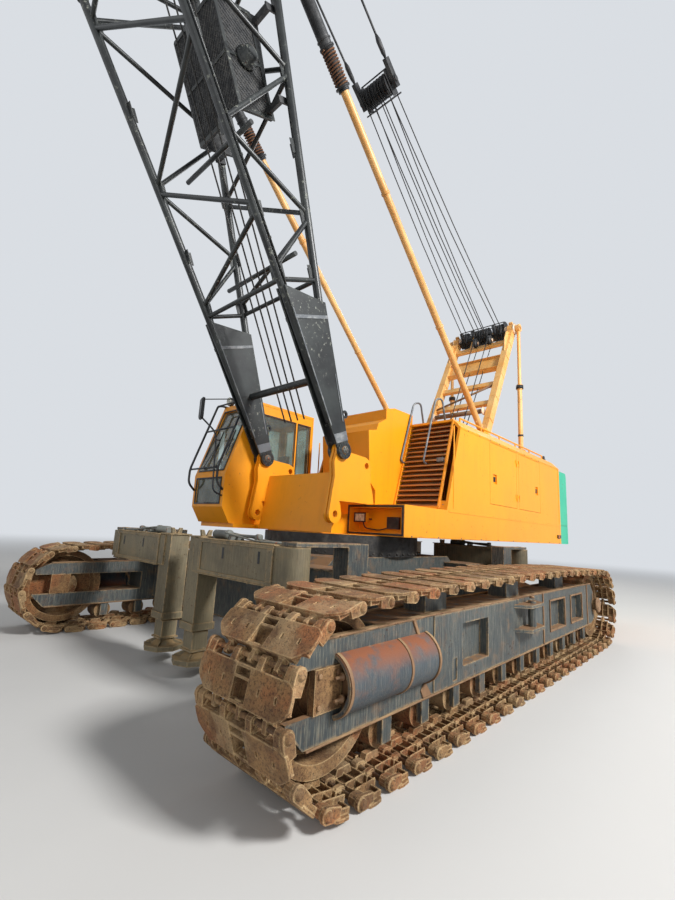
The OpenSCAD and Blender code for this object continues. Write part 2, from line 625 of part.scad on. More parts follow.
glass_t = 8;
module cab_glass() color([0.5, 0.6, 0.62, 0.4]) {
    plate_y([[cab_x1 - 22, 2645], [cab_x1 - 14, 2645], [cab_x2 + 10, cab_z1 - 135], [cab_x2 + 2, cab_z1 - 135]],
        -cab_y1 + 91, -cab_y0 - 91);
    span([cab_x1 - 26, -cab_y1 + 91, cab_z0 + 321], [cab_x1 - 18, -cab_y0 - 91, 2499]);
    span([cab_x0 + 91, -cab_y0 - 26, sill_z + 1], [cab_door_x0 - 71, -cab_y0 - 18, cab_z1 - 221]);
    span([cab_door_x0 + 1, -cab_y0 - 26, sill_z + 1], [cab_door_x1 - 1, -cab_y0 - 18, cab_z1 - 221]);
    span([cab_x0 + 91, -cab_y1 + 18, sill_z + 1], [cab_door_x0 - 71, -cab_y1 + 26, cab_z1 - 221]);
    span([cab_x0 + 18, -cab_y1 + 151, sill_z + 1], [cab_x0 + 26, -cab_y0 - 151, cab_z1 - 221]);
}

module cab_door() color(yellow) {
    difference() {
        span([cab_door_x0, -cab_y1, cab_door_z0], [cab_door_x1, -cab_y1 + cab_t, cab_door_z1]);
        span([cab_door_x0 + 90, -cab_y1 - eps, sill_z], [cab_door_x1 - 90, -cab_y1 + cab_t + eps, cab_door_z1 - 100]);
    }
    knuckles(cab_door_x1 + door_gap / 2, -cab_y1, -1, -1, cab_hinge_zs, true);
}

module cab_seat() color(black) {
    ym = -(cab_y0 + cab_y1) / 2;
    span([300, ym - 240, cab_z0 + cab_t], [760, ym + 240, cab_z0 + 420]);
    plate_y([[200, cab_z0 + 420], [780, cab_z0 + 420], [800, cab_z0 + 540], [330, cab_z0 + 540],
        [230, cab_z0 + 1180], [120, cab_z0 + 1180]], ym - 250, ym + 250);
    span([1180, ym - 300, cab_z0 + cab_t], [1420, ym + 300, cab_z0 + 900]);
}

// Brackets on the roof, two ears and a pin each, for the gantry, its struts and the backstops
ear_t = 30;
ear_gap = 6;
module ears(x, y, z, half_w, r) {
    for (e = [-1, 1]) {
        ye = y + e * (half_w + ear_gap + ear_t / 2);
        plate_y([[x - 190, roof_z + seat], [x + 190, roof_z + seat], [x + 90, z + 60], [x + 40, z + 90],
            [x - 40, z + 90], [x - 90, z + 60]], ye - ear_t / 2, ye + ear_t / 2);
    }
    shaft(x, z, r, y - half_w - ear_gap - 1, y + half_w + ear_gap + 1);
    span([x - 190, y - half_w - ear_gap - 1, roof_z + seat], [x + 190, y + half_w + ear_gap + 1, roof_z + 20]);
}
module roof_brackets() color(yellow) for (s = [-1, 1]) {
    ears(-gantry_x, s * gantry_y, gantry_z, leg_w / 2, 50);
    ears(-gantry_top_x, s * strut_y, strut_z, strut_r, 40);
    ears(-stop_x, s * stop_y, stop_z, 60, 40);
}

// Gantry: two legs with cross ties, hinged on the house, and telescoping struts behind
leg_w = 150;
gantry_foot = [-gantry_x, 0, gantry_z];
gantry_top = [-gantry_top_x, 0, gantry_top_z];
gantry_len = norm(gantry_top - gantry_foot);
gantry_lean = atan2(gantry_top_x - gantry_x, gantry_top_z - gantry_z);
module on_gantry() translate(gantry_foot) rotate([0, -gantry_lean, 0]) children();
module gantry_frame() color(cream) on_gantry() difference() {
    union() {
        for (s = [-1, 1]) {
            translate([-100, s * gantry_y - leg_w / 2, 0]) cube([200, leg_w, gantry_len]);
            shaft(0, 0, 120, s * gantry_y - leg_w / 2, s * gantry_y + leg_w / 2);
            shaft(0, gantry_len, 150, s * gantry_y - leg_w / 2, s * gantry_y + leg_w / 2);
        }
        for (z = [0.28, 0.45, 0.86]) translate([-45, -gantry_y, gantry_len * z]) cube([90, 2 * gantry_y, 130]);
        translate([-20, -gantry_y, gantry_len * 0.62]) cube([40, 2 * gantry_y, 420]);
        for (y = [-300, 300])
            translate([-60, y - 15, gantry_len * 0.86]) cube([120, 30, gantry_len * 0.14 + 100]);
    }
    shaft(0, 0, 50 + pin_gap, -1200, 1200);
    shaft(0, gantry_len, 55 + pin_gap, -1200, 1200);
}

// A grooved sheave about an axle along Y
rope_r = 14;
module sheave(r, w, bore) rotate([90, 0, 0]) rotate_extrude($fn = 48)
    polygon([[bore, -w / 2], [r, -w / 2], [r - 36, -rope_r - 2], [r - 36, rope_r + 2], [r, w / 2], [bore, w / 2]]);

gantry_axle_r = 55;
gantry_sheave_ys = [-560, -480, -160, -80, 0, 80, 160, 480, 560];
module gantry_sheaves() color(black) on_gantry() {
    shaft(0, gantry_len, gantry_axle_r, -gantry_y + leg_w / 2 + seat, gantry_y - leg_w / 2 - seat);
    for (y = gantry_sheave_ys) translate([0, y, gantry_len]) sheave(240, 64, gantry_axle_r - 1);
}

strut_r = 60;
rod_r = 46;
strut_bore_z = strut_z + 160;
rod_z0 = strut_bore_z + 1400;
module gantry_tubes() color(cream) for (s = [-1, 1]) difference() {
    union() {
        bar([-gantry_top_x, s * strut_y, strut_z], [-gantry_top_x, s * strut_y, strut_mid_z], strut_r);
        shaft(-gantry_top_x, strut_z, 90, s * strut_y - strut_r, s * strut_y + strut_r);
        translate([-gantry_top_x, s * strut_y, strut_mid_z - 140]) cylinder(r = 78, h = 140);
    }
    translate([-gantry_top_x, s * strut_y, strut_bore_z]) cylinder(r = rod_r + pin_gap, h = 2600);
    shaft(-gantry_top_x, strut_z, 40 + pin_gap, -1300, 1300);
}

module gantry_rods() color(cream) for (s = [-1, 1]) difference() {
    union() {
        translate([-gantry_top_x, s * strut_y, rod_z0]) cylinder(r = rod_r, h = gantry_top_z - rod_z0 - 60);
        shaft(-gantry_top_x, gantry_top_z, 110, s * strut_y - 50, s * strut_y + 50);
    }
    shaft(-gantry_top_x, gantry_top_z, 60, -1300, 1300);
}

// Backstops: tubes hinged on the house, sleeves with their springs on the boom's side
function boom_at(s, v, y = 0) = [pin_x + s * cos(boom_deg) - v * sin(boom_deg), y,
    pin_z + s * sin(boom_deg) + v * cos(boom_deg)];
rear_v = boom_depth / 2 + 210;
stop_foot = [-stop_x, 0, stop_z];
stop_eye = boom_at(stop_s, rear_v);
stop_len = norm(stop_eye - stop_foot);
stop_deg = atan2(stop_eye[2] - stop_z, stop_eye[0] + stop_x);
module on_stop() translate(stop_foot) rotate([0, 90 - stop_deg, 0]) children();
sleeve_l = 1250;
stop_stroke = 780;
spring_l = 520;
sleeve_r = stop_r + 26;
spring_n = 8;
module backstop_tubes() color(yellow) for (s = [-1, 1]) on_stop() translate([0, s * stop_y, 0]) difference() {
    union() {
        cylinder(r = stop_r, h = stop_len - 120 - stop_stroke);
        shaft(0, 0, 95, -60, 60);
    }
    translate([0, 0, 400]) cylinder(r = stop_r - 14, h = stop_len);
    shaft(0, 0, 40 + pin_gap, -80, 80);
}

// The coil spring's outline, wound round the tube between two collars
spring_z = stop_len - sleeve_l - spring_l;
spring_profile = concat([[stop_r + pin_gap, spring_z - 60], [sleeve_r, spring_z - 60]],
    [for (k = [0 : spring_n - 1], e = [0, 1])
        [e == 0 ? sleeve_r : stop_r + 12, spring_z + (k + e * 0.5) * spring_l / spring_n]],
    [[sleeve_r + 6, stop_len - sleeve_l], [sleeve_r + 6, stop_len - 60], [20, stop_len - 60],
        [20, stop_len - 120], [stop_r + 6, stop_len - 120], [stop_r + 6, spring_z],
        [stop_r + pin_gap, spring_z]]);
module backstop_sleeves() color(black) for (s = [-1, 1]) on_stop() translate([0, s * stop_y, 0]) {
    rotate_extrude($fn = 48) polygon(spring_profile);
    difference() {
        union() {
            shaft(0, stop_len, 90, -50, 50);
            translate([0, 0, stop_len - 3800]) cylinder(r = stop_r - 22, h = 3760);
        }
        shaft(0, stop_len, 45, -80, 80);
    }
}

// Boom: base section, tip section and head, drawn along its own axis
module on_boom() translate(boom_foot) rotate([0, -boom_deg, 0]) children();
taper_s = 9150;
collar_l = 120;
head_s = boom_len;
head_v = 280;
head_w = 520;
head_axle_r = 60;
function front_v(s) = s < full_s ? -boom_depth / 2 * s / full_s
    : s < taper_s ? -boom_depth / 2
    : -boom_depth / 2 + (boom_depth / 2 - head_v) * (s - taper_s) / (head_s - taper_s);
function rear_v_at(s) = -front_v(s);
function side_y(s) = s < taper_s ? boom_y : boom_y - (boom_y - head_w) * (s - taper_s) / (head_s - taper_s);
plate_s = 2150;
function chord(s, side, face) = [s, side * side_y(s), face < 0 ? front_v(s) : rear_v_at(s)];
flange_t = 116;
stub_s = head_s - 900;
module chord_run(s0, s1, side, face) bar(chord(s0, side, face), chord(s1, side, face), chord_r, 32);
module boom_chords() color(black) on_boom() for (side = [-1, 1], face = [-1, 1]) {
    chord_run(face < 0 ? foot_web + 60 : plate_s - 150, full_s - 20, side, face);
    chord_run(full_s + 20, joint_s - flange_t / 2 - seat, side, face);
    chord_run(joint_s + flange_t / 2 + seat, taper_s - 20, side, face);
    chord_run(taper_s + 20, stub_s, side, face);
    for (s = [full_s, taper_s]) translate(chord(s, side, face) - [collar_l / 2, 0, 0]) rotate([0, 90, 0])
        cylinder(r = chord_r + 14, h = collar_l, $fn = 32);
}

// Lacing: zigzags on the four faces, each member cut back from the chords it runs between
lace_gap = 48;
base_stations = [2620, 3420, 4420, 5480, 6600, 7380];
tip_stations = [7860, 8750, 9600, 10500, 11400, 12250, 13050, 13800, 14380];
module member(s0, a_side, a_face, s1, b_side, b_face) {
    p = chord(s0, a_side, a_face);
    q = chord(s1, b_side, b_face);
    difference() {
        bar(p, q, lace_r, 20);
        chord_cut(s0, a_side, a_face);
        chord_cut(s1, b_side, b_face);
    }
}
module chord_cut(s, side, face) {
    near = abs(s - full_s) < 300 ? full_s : abs(s - taper_s) < 10 ? taper_s : s;
    bar(chord(near < s ? near : s - 200, side, face), chord(near > s ? near : s + 200, side, face),
        chord_r + seat, 32);
}
module zigzag(st, a_side, a_face, b_side, b_face) {
    last = len(st) - 1;
    for (i = [0 : last - 1])
        if (i % 2 == 0) member(st[i] + lace_gap, a_side, a_face, st[i + 1] - lace_gap, b_side, b_face);
        else member(st[i] + lace_gap, b_side, b_face, st[i + 1] - lace_gap, a_side, a_face);
    for (s = [st[0] - 120, st[last] + 120]) member(s, a_side, a_face, s, b_side, b_face);
}
module boom_lacing() color(black) on_boom() for (st = [base_stations, tip_stations]) {
    for (s = [-1, 1]) zigzag(st, s, -1, s, 1);
    for (f = [-1, 1]) zigzag(st, -1, f, 1, f);
}

// Foot plates, the joint's flanges and the head
foot_r = 130;
foot_in = chord_r + 1;
foot_t = 30;
foot_web = 400;
foot_eye = [500, 205];
pin_half = foot_in + foot_t + 27;
module boom_plates() color(black) on_boom() {
    difference() {
        union() {
            for (s = [-1, 1], e = [-1, 1]) {
                y0 = s * boom_y + e * foot_in;
                y1 = y0 + e * foot_t;
                plate_y([[-60, -110], [90, -120], [plate_s + 250, front_v(plate_s + 250) - 40],
                    [plate_s, rear_v_at(plate_s) + 40], [100, 130], [-60, 110]], min(y0, y1), max(y0, y1));
                shaft(0, 0, foot_r, min(y0, y1 + e * 25), max(y0, y1 + e * 25));
                shaft(foot_eye[0], foot_eye[1], 62, min(y0, y1), max(y0, y1));
            }
            for (s = [-1, 1]) {
                span([foot_web, s * boom_y - foot_in - eps, -100], [foot_web + 30, s * boom_y + foot_in + eps, 100]);
                span([plate_s - 220, s * boom_y - foot_in - eps, -200],
                    [plate_s - 190, s * boom_y + foot_in + eps, 200]);
            }
        }
        shaft(0, 0, pin_r + pin_gap, -2000, 2000);
        shaft(foot_eye[0], foot_eye[1], 28, -2000, 2000);
    }
    tie_y = boom_y - foot_in - foot_t - seat;
    bar([1100, -tie_y, 20], [1100, tie_y, 20], 60);
    for (s = [-1, 1], f = [-1, 1])
        translate([joint_s - flange_t / 2, s * boom_y, f * boom_depth / 2]) rotate([0, 90, 0])
            cylinder(r = 95, h = flange_t);
    for (s = [-1, 1]) {
        plate_y([[head_s - 615, -head_v - 150], [head_s - 300, -head_off - 160], [head_s + 60, -head_off - 160],
            [head_s + 140, -head_off], [head_s + 90, 300], [head_s - 60, 470], [head_s - 615, head_v + 150]],
            s * head_w - 25, s * head_w + 25);
        bar([head_s - 60, s * 390, 330], [head_s - 60, s * (head_w - 24), 330], 45);
        for (f = [-1, 1]) chord_run(stub_s + seat, head_s - 450, s, f);
    }
    bar([head_s - 500, -head_w, 0], [head_s - 500, head_w, 0], 60);
    bar([head_s, -head_w, -head_off], [head_s, head_w, -head_off], head_axle_r);
    for (s = [-1, 1]) difference() {
        plate_y([[stop_s - 150, boom_depth / 2], [stop_s + 150, boom_depth / 2],
            [stop_s + 80, rear_v + 90], [stop_s - 80, rear_v + 90]], s * boom_y - 20, s * boom_y + 20);
        chord_cut(stop_s, s, 1);
    }
}

// Winch platform behind the base section, with its drum and mesh guard
winch_s = [5100, 6400];
winch_box = [5000, 6500];
winch_half = 500;
floor_v = 60;
winch_y = boom_y - chord_r - seat;
module boom_winch() color(black) on_boom() {
    span([winch_box[0], -winch_half, floor_v], [winch_box[1], winch_half, floor_v + 40]);
    for (s = [-1, 1]) {
        plate_y([[winch_box[0], floor_v], [winch_box[1], floor_v], [winch_box[1], rear_v_at(winch_s[1]) - 60],
            [winch_box[0], rear_v_at(winch_s[0]) - 60]], s * winch_half - 15, s * winch_half + 15);
        for (w = winch_s) {
            span([w - 50, min(s * winch_y, s * (winch_y - 24)), rear_v_at(w) - 170],
                [w + 50, max(s * winch_y, s * (winch_y - 24)), rear_v_at(w) + 30]);
            span([w - 40, min(s * (winch_half - 10), s * (winch_y - 10)), rear_v_at(w) - 160],
                [w + 40, max(s * (winch_half - 10), s * (winch_y - 10)), rear_v_at(w) - 90]);
        }
    }
    translate([5750, 0, 400]) rotate([90, 0, 0]) rotate_extrude() polygon([[0, -490], [60, -490], [60, -445],
        [280, -445], [280, -415], [210, -415], [210, 415], [280, 415], [280, 445], [60, 445], [60, 490], [0, 490]]);
}

head_sheave_ys = [-330, -110, 110, 330];
module head_sheaves() color(slate) on_boom() for (y = head_sheave_ys)
    translate([head_s, y, -head_off]) sheave(sheave_r, 90, head_axle_r + pin_gap);

// Pendants from the boom head to the bridle
pend_top = boom_at(head_s - 60, 330);
pend_dir = gantry_top - pend_top;
pend_deg = atan2(-pend_dir[2], -pend_dir[0]);
pend_l = 9000;
bridle_sheave_ys = [-280, -200, -120, -40, 40, 120, 200, 280];
module on_pend() translate(pend_top) rotate([0, -pend_deg, 0]) mirror([1, 0, 0]) children();
module pendants() color(black) on_pend() difference() {
    union() {
        for (s = [-1, 1]) {
            bar([60, s * 430, 0], [pend_l, s * 430, 0], 22);
            shaft(0, 0, 90, s * 430 - 30, s * 430 + 30);
            span([pend_l - 60, s * 430 - 40, -90], [pend_l + 500, s * 430 + 40, 90]);
        }
        shaft(pend_l + 350, 0, 50, -430, 430);
        for (y = bridle_sheave_ys) translate([pend_l + 350, y, 0]) sheave(220, 64, 49);
    }
    shaft(0, 0, 45 + pin_gap, -600, 600);
}

// Hook block on its falls, hanging plumb below the head axle
head_at = boom_at(head_s, -head_off);
hook_at = head_at - [0, 0, hook_drop];
fall_x = sheave_r - 36 + rope_r + seat;
module hook_falls() color(black) for (y = [-110, 110], x = [-1, 1])
    translate(hook_at + [x * fall_x, y, 0]) cylinder(r = rope_r, h = hook_drop, $fn = 16);
module hook_block() color(yellow) translate(hook_at) difference() {
    union() {
        for (s = [-1, 1]) hull() {
            shaft(0, 60, 400, s * 200 - 15, s * 200 + 15);
            shaft(0, -420, 140, s * 200 - 15, s * 200 + 15);
        }
        shaft(0, 0, 60, -185, 185);
        for (y = [-110, 110]) translate([0, y, 0]) sheave(sheave_r, 90, 59);
        span([-130, -185, -520], [130, 185, -380]);
    }
    translate([0, 0, -600]) cylinder(r = 55 + pin_gap, h = 300);
}
module hook() color(black) translate(hook_at + [0, 0, -520]) {
    translate([0, 0, -180]) cylinder(r = 55, h = 300);
    translate([0, 0, -180 - bowl_r - 70]) rotate([90, 0, 0]) rotate([0, 0, 100])
        rotate_extrude(angle = -280, $fn = 48) translate([bowl_r + 60, 0]) circle(r = 60, $fn = 24);
}

carbody();
slew_ring();
track_frames();
takeup_covers();
track(1);  // track_left
track(-1);  // track_right
idlers();
tumblers();
track_rollers();
jack_arm(1, 1);  // jack_arm_fl
jack_arm(1, -1);  // jack_arm_fr
jack_arm(-1, 1);  // jack_arm_rl
jack_arm(-1, -1);  // jack_arm_rr
jack_foot(1, 1);  // jack_foot_fl
jack_foot(1, -1);  // jack_foot_fr
jack_foot(-1, 1);  // jack_foot_rl
jack_foot(-1, -1);  // jack_foot_rr
deck();
boom_lugs();
house_shell();
house_mid();
louvres();
engine();
counterweight();
house_door(0, 1);  // house_door_l1
house_door(1, 1);  // house_door_l2
house_door(0, -1);  // house_door_r1
house_door(1, -1);  // house_door_r2
roof_rails();
roof_brackets();
cab_shell();
cab_glass();
cab_door();
cab_seat();
gantry_frame();
gantry_sheaves();
gantry_tubes();
gantry_rods();
backstop_tubes();
backstop_sleeves();
boom_chords();
boom_lacing();
boom_plates();
boom_winch();
head_sheaves();
pendants();
hook_falls();
hook_block();
hook();
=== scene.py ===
"""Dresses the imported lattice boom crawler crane: finishes, track shoes, rails, lamps, springs and ropes."""
import json
import math
import random

import bmesh
import bpy
from bpy.props import FloatProperty, FloatVectorProperty, IntProperty, PointerProperty
from mathutils import Matrix, Vector


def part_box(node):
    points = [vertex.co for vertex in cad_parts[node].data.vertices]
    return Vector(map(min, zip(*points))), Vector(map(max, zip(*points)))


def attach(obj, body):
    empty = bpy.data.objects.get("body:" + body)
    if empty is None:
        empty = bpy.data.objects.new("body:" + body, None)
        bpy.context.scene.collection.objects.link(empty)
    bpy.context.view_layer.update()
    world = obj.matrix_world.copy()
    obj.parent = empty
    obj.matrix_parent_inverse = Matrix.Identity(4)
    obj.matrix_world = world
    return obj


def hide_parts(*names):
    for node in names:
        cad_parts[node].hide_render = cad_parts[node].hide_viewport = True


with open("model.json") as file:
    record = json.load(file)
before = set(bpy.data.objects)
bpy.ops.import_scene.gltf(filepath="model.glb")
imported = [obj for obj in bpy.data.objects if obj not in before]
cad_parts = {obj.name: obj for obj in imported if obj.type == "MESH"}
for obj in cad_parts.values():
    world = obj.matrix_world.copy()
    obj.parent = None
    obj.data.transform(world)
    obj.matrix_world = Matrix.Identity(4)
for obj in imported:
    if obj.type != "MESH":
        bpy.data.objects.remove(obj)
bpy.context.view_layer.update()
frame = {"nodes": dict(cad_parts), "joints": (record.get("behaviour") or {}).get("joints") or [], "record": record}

bl_info = {
    "name": "Crawler crane dressing",
    "version": (1, 0, 0),
    "blender": (4, 5, 0),
    "location": "3D View > Sidebar > Crane",
    "description": "Finishes and small pieces of a lattice boom crawler crane",
    "category": "Object",
}

BACKDROP = (0.70, 0.73, 0.77, 1)
FLOOR = (0.60, 0.59, 0.57, 1)
JOINTS = {joint["name"]: joint for joint in frame["joints"]}
LEFT, RIGHT = 1, -1
SIDES = (LEFT, RIGHT)
X, Y, Z = (Vector(axis) for axis in ((1, 0, 0), (0, 1, 0), (0, 0, 1)))
FINISHES = {}  # the crane's materials by name


def joint_at(name):
    """Where a joint sits in the crane's frame."""
    return Vector(JOINTS[name]["pos_m"])


def aimed(origin, towards, squint=0.0):
    """A place at origin whose X points at towards in the XZ plane, turned back by squint, with Y kept."""
    ahead = towards - origin
    return Matrix.Translation(origin) @ Matrix.Rotation(-math.atan2(ahead.z, ahead.x) + squint, 4, "Y")


# The boom's own axes: X runs up the boom from its foot pins and Z towards its rear face
BOOM = aimed(joint_at("boom_luff"), joint_at("suspension_swing"), math.atan2(0.33, 15.18))


def rgb(screen):
    """A screen colour in hex as the linear colour that the shaders take."""
    values = [int(screen[k:k + 2], 16) / 255 for k in (0, 2, 4)]
    return tuple(v / 12.92 if v <= 0.04045 else ((v + 0.055) / 1.055) ** 2.4 for v in values) + (1.0,)


def linked(name, data):
    """A new object in the scene."""
    made = bpy.data.objects.new(name, data)
    bpy.context.scene.collection.objects.link(made)
    return made


def between(low, high, share):
    return low + (high - low) * share


class Form:
    """The faces of one piece, gathered in metres. place is the matrix that its points are given in."""

    def __init__(self, place=None):
        self.points = []
        self.faces = []
        self.is_round = []
        self.place = place or Matrix()

    def add(self, points, faces, is_round=False):
        first = len(self.points)
        self.points += [self.place @ Vector(p) for p in points]
        self.faces += [tuple(first + i for i in face) for face in faces]
        self.is_round += [is_round] * len(faces)

    def box(self, low, high):
        low, high = ([min(a, b) for a, b in zip(low, high)], [max(a, b) for a, b in zip(low, high)])
        self.prism([(low[0], low[2]), (high[0], low[2]), (high[0], high[2]), (low[0], high[2])], low[1], high[1])

    def prism(self, outline, y0, y1):
        """An outline in X and Z, made solid from y0 to y1."""
        count = len(outline)
        self.add([(x, y, z) for y in (y0, y1) for x, z in outline],
                 [tuple(range(count)), tuple(range(2 * count - 1, count - 1, -1))]
                 + [(i, i + count, (i + 1) % count + count, (i + 1) % count) for i in range(count)])

    def tube(self, path, radius, sides=12, closed=False):
        """A round bar along a path. radius is a number, or one for each point of the path."""
        path = [Vector(p) for p in path]
        radii = radius if isinstance(radius, (list, tuple)) else [radius] * len(path)
        count = len(path)
        heading = (path[1] - path[0]).normalized()
        across = heading.orthogonal().normalized()
        rings = []
        for i, point in enumerate(path):
            before = path[i - 1] if i or closed else point
            after = path[(i + 1) % count] if i < count - 1 or closed else point
            ahead = (after - before).normalized()
            across = (across - ahead * across.dot(ahead)).normalized()
            side = ahead.cross(across)
            rings += [point + (across * math.cos(a) + side * math.sin(a)) * radii[i]
                      for a in (2 * math.pi * k / sides for k in range(sides))]
        spans = count if closed else count - 1
        self.add(rings, [(i * sides + k, i * sides + (k + 1) % sides,
                          (i + 1) % count * sides + (k + 1) % sides, (i + 1) % count * sides + k)
                         for i in range(spans) for k in range(sides)], True)
        if not closed:
            first = len(self.points) - len(rings)
            for cap in (range(first, first + sides), range(first + (count - 1) * sides, first + count * sides)):
                self.faces.append(tuple(cap))
                self.is_round.append(False)

    def turn(self, profile, centre, axis, sides=32):
        """A profile of (radius, distance along axis), turned about that axis through centre."""
        centre, axis = Vector(centre), Vector(axis).normalized()
        self.tube([centre + axis * a for _, a in profile], [max(r, 1e-4) for r, _ in profile], sides)

    def boss(self, centre, axis, sides, *steps):
        """A round boss. steps are (radius, height), and the first radius starts at centre."""
        self.turn([(steps[0][0], 0), *steps], centre, axis, sides)

    def pipe(self, path, corner, radius, sides=8):
        """A bent pipe with rounded corners."""
        self.tube(rounded(path, corner), radius, sides)

    def crossbar(self, x, z, half, radius, sides=8):
        """A round bar across the centre line."""
        self.tube([(x, -half, z), (x, half, z)], radius, sides)

    def sheave(self, centre, radius, half):
        """A grooved wheel about Y, its rim 2 * half wide."""
        groove = radius - 0.025
        self.turn([(0.03, -0.05), (radius, -half), (radius, 0.008 - half), (groove, 0.024 - half),
                   (groove, half - 0.024), (radius, half - 0.008), (radius, half), (0.03, 0.05)], centre, Y, 28)

    def hoop(self, profile, centre, axis, sides=32):
        """A closed profile of (radius, distance along axis), turned about that axis with an open bore."""
        centre, axis = Vector(centre), Vector(axis).normalized()
        across = axis.orthogonal().normalized()
        side = axis.cross(across)
        count = len(profile)
        self.add([centre + axis * a + (across * math.cos(t) + side * math.sin(t)) * r
                  for r, a in profile for t in (2 * math.pi * k / sides for k in range(sides))],
                 [(i * sides + k, i * sides + (k + 1) % sides,
                   (i + 1) % count * sides + (k + 1) % sides, (i + 1) % count * sides + k)
                  for i in range(count) for k in range(sides)], True)

    def bolts(self, centre, axis, ring, count, radius, height, phase=0.0):
        """Hexagon heads on a circle about an axis, on the side that the axis points to."""
        centre, axis = Vector(centre), Vector(axis).normalized()
        across = axis.orthogonal().normalized()
        side = axis.cross(across)
        for k in range(count):
            a = phase + 2 * math.pi * k / count
            foot = centre + (across * math.cos(a) + side * math.sin(a)) * ring
            self.turn([(radius, -0.002), (radius, height * 0.8), (radius * 0.75, height)], foot, axis, 6)

    def frame(self, x0, x1, z0, z1, y0, y1, width):
        """A flat rectangular border in X and Z, width wide, from y0 to y1."""
        for a, b, c, d in ((x0, x1, z1 - width, z1), (x0, x1, z0, z0 + width),
                           (x0, x0 + width, z0 + width, z1 - width), (x1 - width, x1, z0 + width, z1 - width)):
            self.box((a, y0, c), (b, y1, d))

    def pierced(self, xs, ys, holes, z0, z1, moved=None):
        """A plate on a grid of X and Y lines. The cells (i, j) in holes stay open. moved gives new corners."""
        moved = moved or {}
        corner = {(i, j): moved.get((i, j), (xs[i], ys[j])) for i in range(len(xs)) for j in range(len(ys))}
        order = {key: n for n, key in enumerate(corner)}
        count = len(order)
        solid = {(i, j) for i in range(len(xs) - 1) for j in range(len(ys) - 1)} - set(holes)
        faces = []
        for i, j in sorted(solid):
            ring = [order[key] for key in ((i, j), (i + 1, j), (i + 1, j + 1), (i, j + 1))]
            faces += [tuple(n + count for n in ring), tuple(reversed(ring))]
            for step, (a, b) in (((0, -1), (0, 1)), ((1, 0), (1, 2)), ((0, 1), (2, 3)), ((-1, 0), (3, 0))):
                if (i + step[0], j + step[1]) not in solid:
                    faces.append((ring[a], ring[b], ring[b] + count, ring[a] + count))
        self.add([(x, y, z) for z in (z0, z1) for x, y in corner.values()], faces)

    def coil(self, radius, wire, z0, z1, turns, steps=16, sides=6):
        """A coil spring about the local Z axis."""
        count = turns * steps
        self.tube([(radius * math.cos(2 * math.pi * k / steps), radius * math.sin(2 * math.pi * k / steps),
                    between(z0, z1, k / count)) for k in range(count + 1)], wire, sides)

    def copies(self, other, places=(Matrix(),)):
        """Adds the faces of another form, once for each place."""
        for place in places:
            first = len(self.points)
            self.points += [place @ p for p in other.points]
            self.faces += [tuple(first + i for i in face) for face in other.faces]
            self.is_round += other.is_round

    def mirrored(self):
        """The same faces, and their mirror image across the centre line."""
        self.copies(self, [Matrix.Diagonal((1, -1, 1, 1))])
        return self

    def bevelled(self, width, over=math.radians(35)):
        """This form with its sharp edges broken."""
        shape = bmesh.new()
        verts = [shape.verts.new(p) for p in self.points]
        for face, is_round in zip(self.faces, self.is_round):
            shape.faces.new([verts[i] for i in face]).smooth = is_round
        bmesh.ops.recalc_face_normals(shape, faces=shape.faces)
        sharp = [e for e in shape.edges if e.is_manifold and e.calc_face_angle(0) > over]
        bmesh.ops.bevel(shape, geom=sharp, offset=width, segments=1, affect="EDGES", clamp_overlap=True)
        shape.verts.index_update()
        self.points = [v.co.copy() for v in shape.verts]
        self.faces = [tuple(v.index for v in f.verts) for f in shape.faces]
        self.is_round = [f.smooth for f in shape.faces]
        shape.free()
        return self

    def piece(self, name, body, slot, finish=None, replaces=()):
        """Makes the object that rides on body. Its finish is the slot's own one where none is given."""
        mesh = bpy.data.meshes.new(name)
        mesh.from_pydata(self.points, [], self.faces)
        shape = bmesh.new()
        shape.from_mesh(mesh)
        bmesh.ops.recalc_face_normals(shape, faces=shape.faces)
        shape.to_mesh(mesh)
        shape.free()
        mesh.polygons.foreach_set("use_smooth", self.is_round)
        mesh.materials.append(FINISHES[finish or slot])
        made = linked(name, mesh)
        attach(made, body)
        if replaces:
            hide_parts(*replaces)


def arc(centre, radius, start, stop, steps=8):
    """Points on an arc in a plane, from start to stop in degrees."""
    angles = [math.radians(between(start, stop, k / steps)) for k in range(steps + 1)]
    return [(centre[0] + radius * math.cos(a), centre[1] + radius * math.sin(a)) for a in angles]


def rounded(path, radius, steps=5):
    """A path with its corners rounded."""
    path = [Vector(p) for p in path]
    made = [path[0]]
    for before, corner, after in zip(path, path[1:], path[2:]):
        into, out = (before - corner), (after - corner)
        reach = min(radius, into.length / 2, out.length / 2)
        start, stop = corner + into.normalized() * reach, corner + out.normalized() * reach
        for k in range(steps + 1):
            t = k / steps
            made.append(start * (1 - t) ** 2 + corner * 2 * t * (1 - t) + stop * t ** 2)
    return made + [path[-1]]


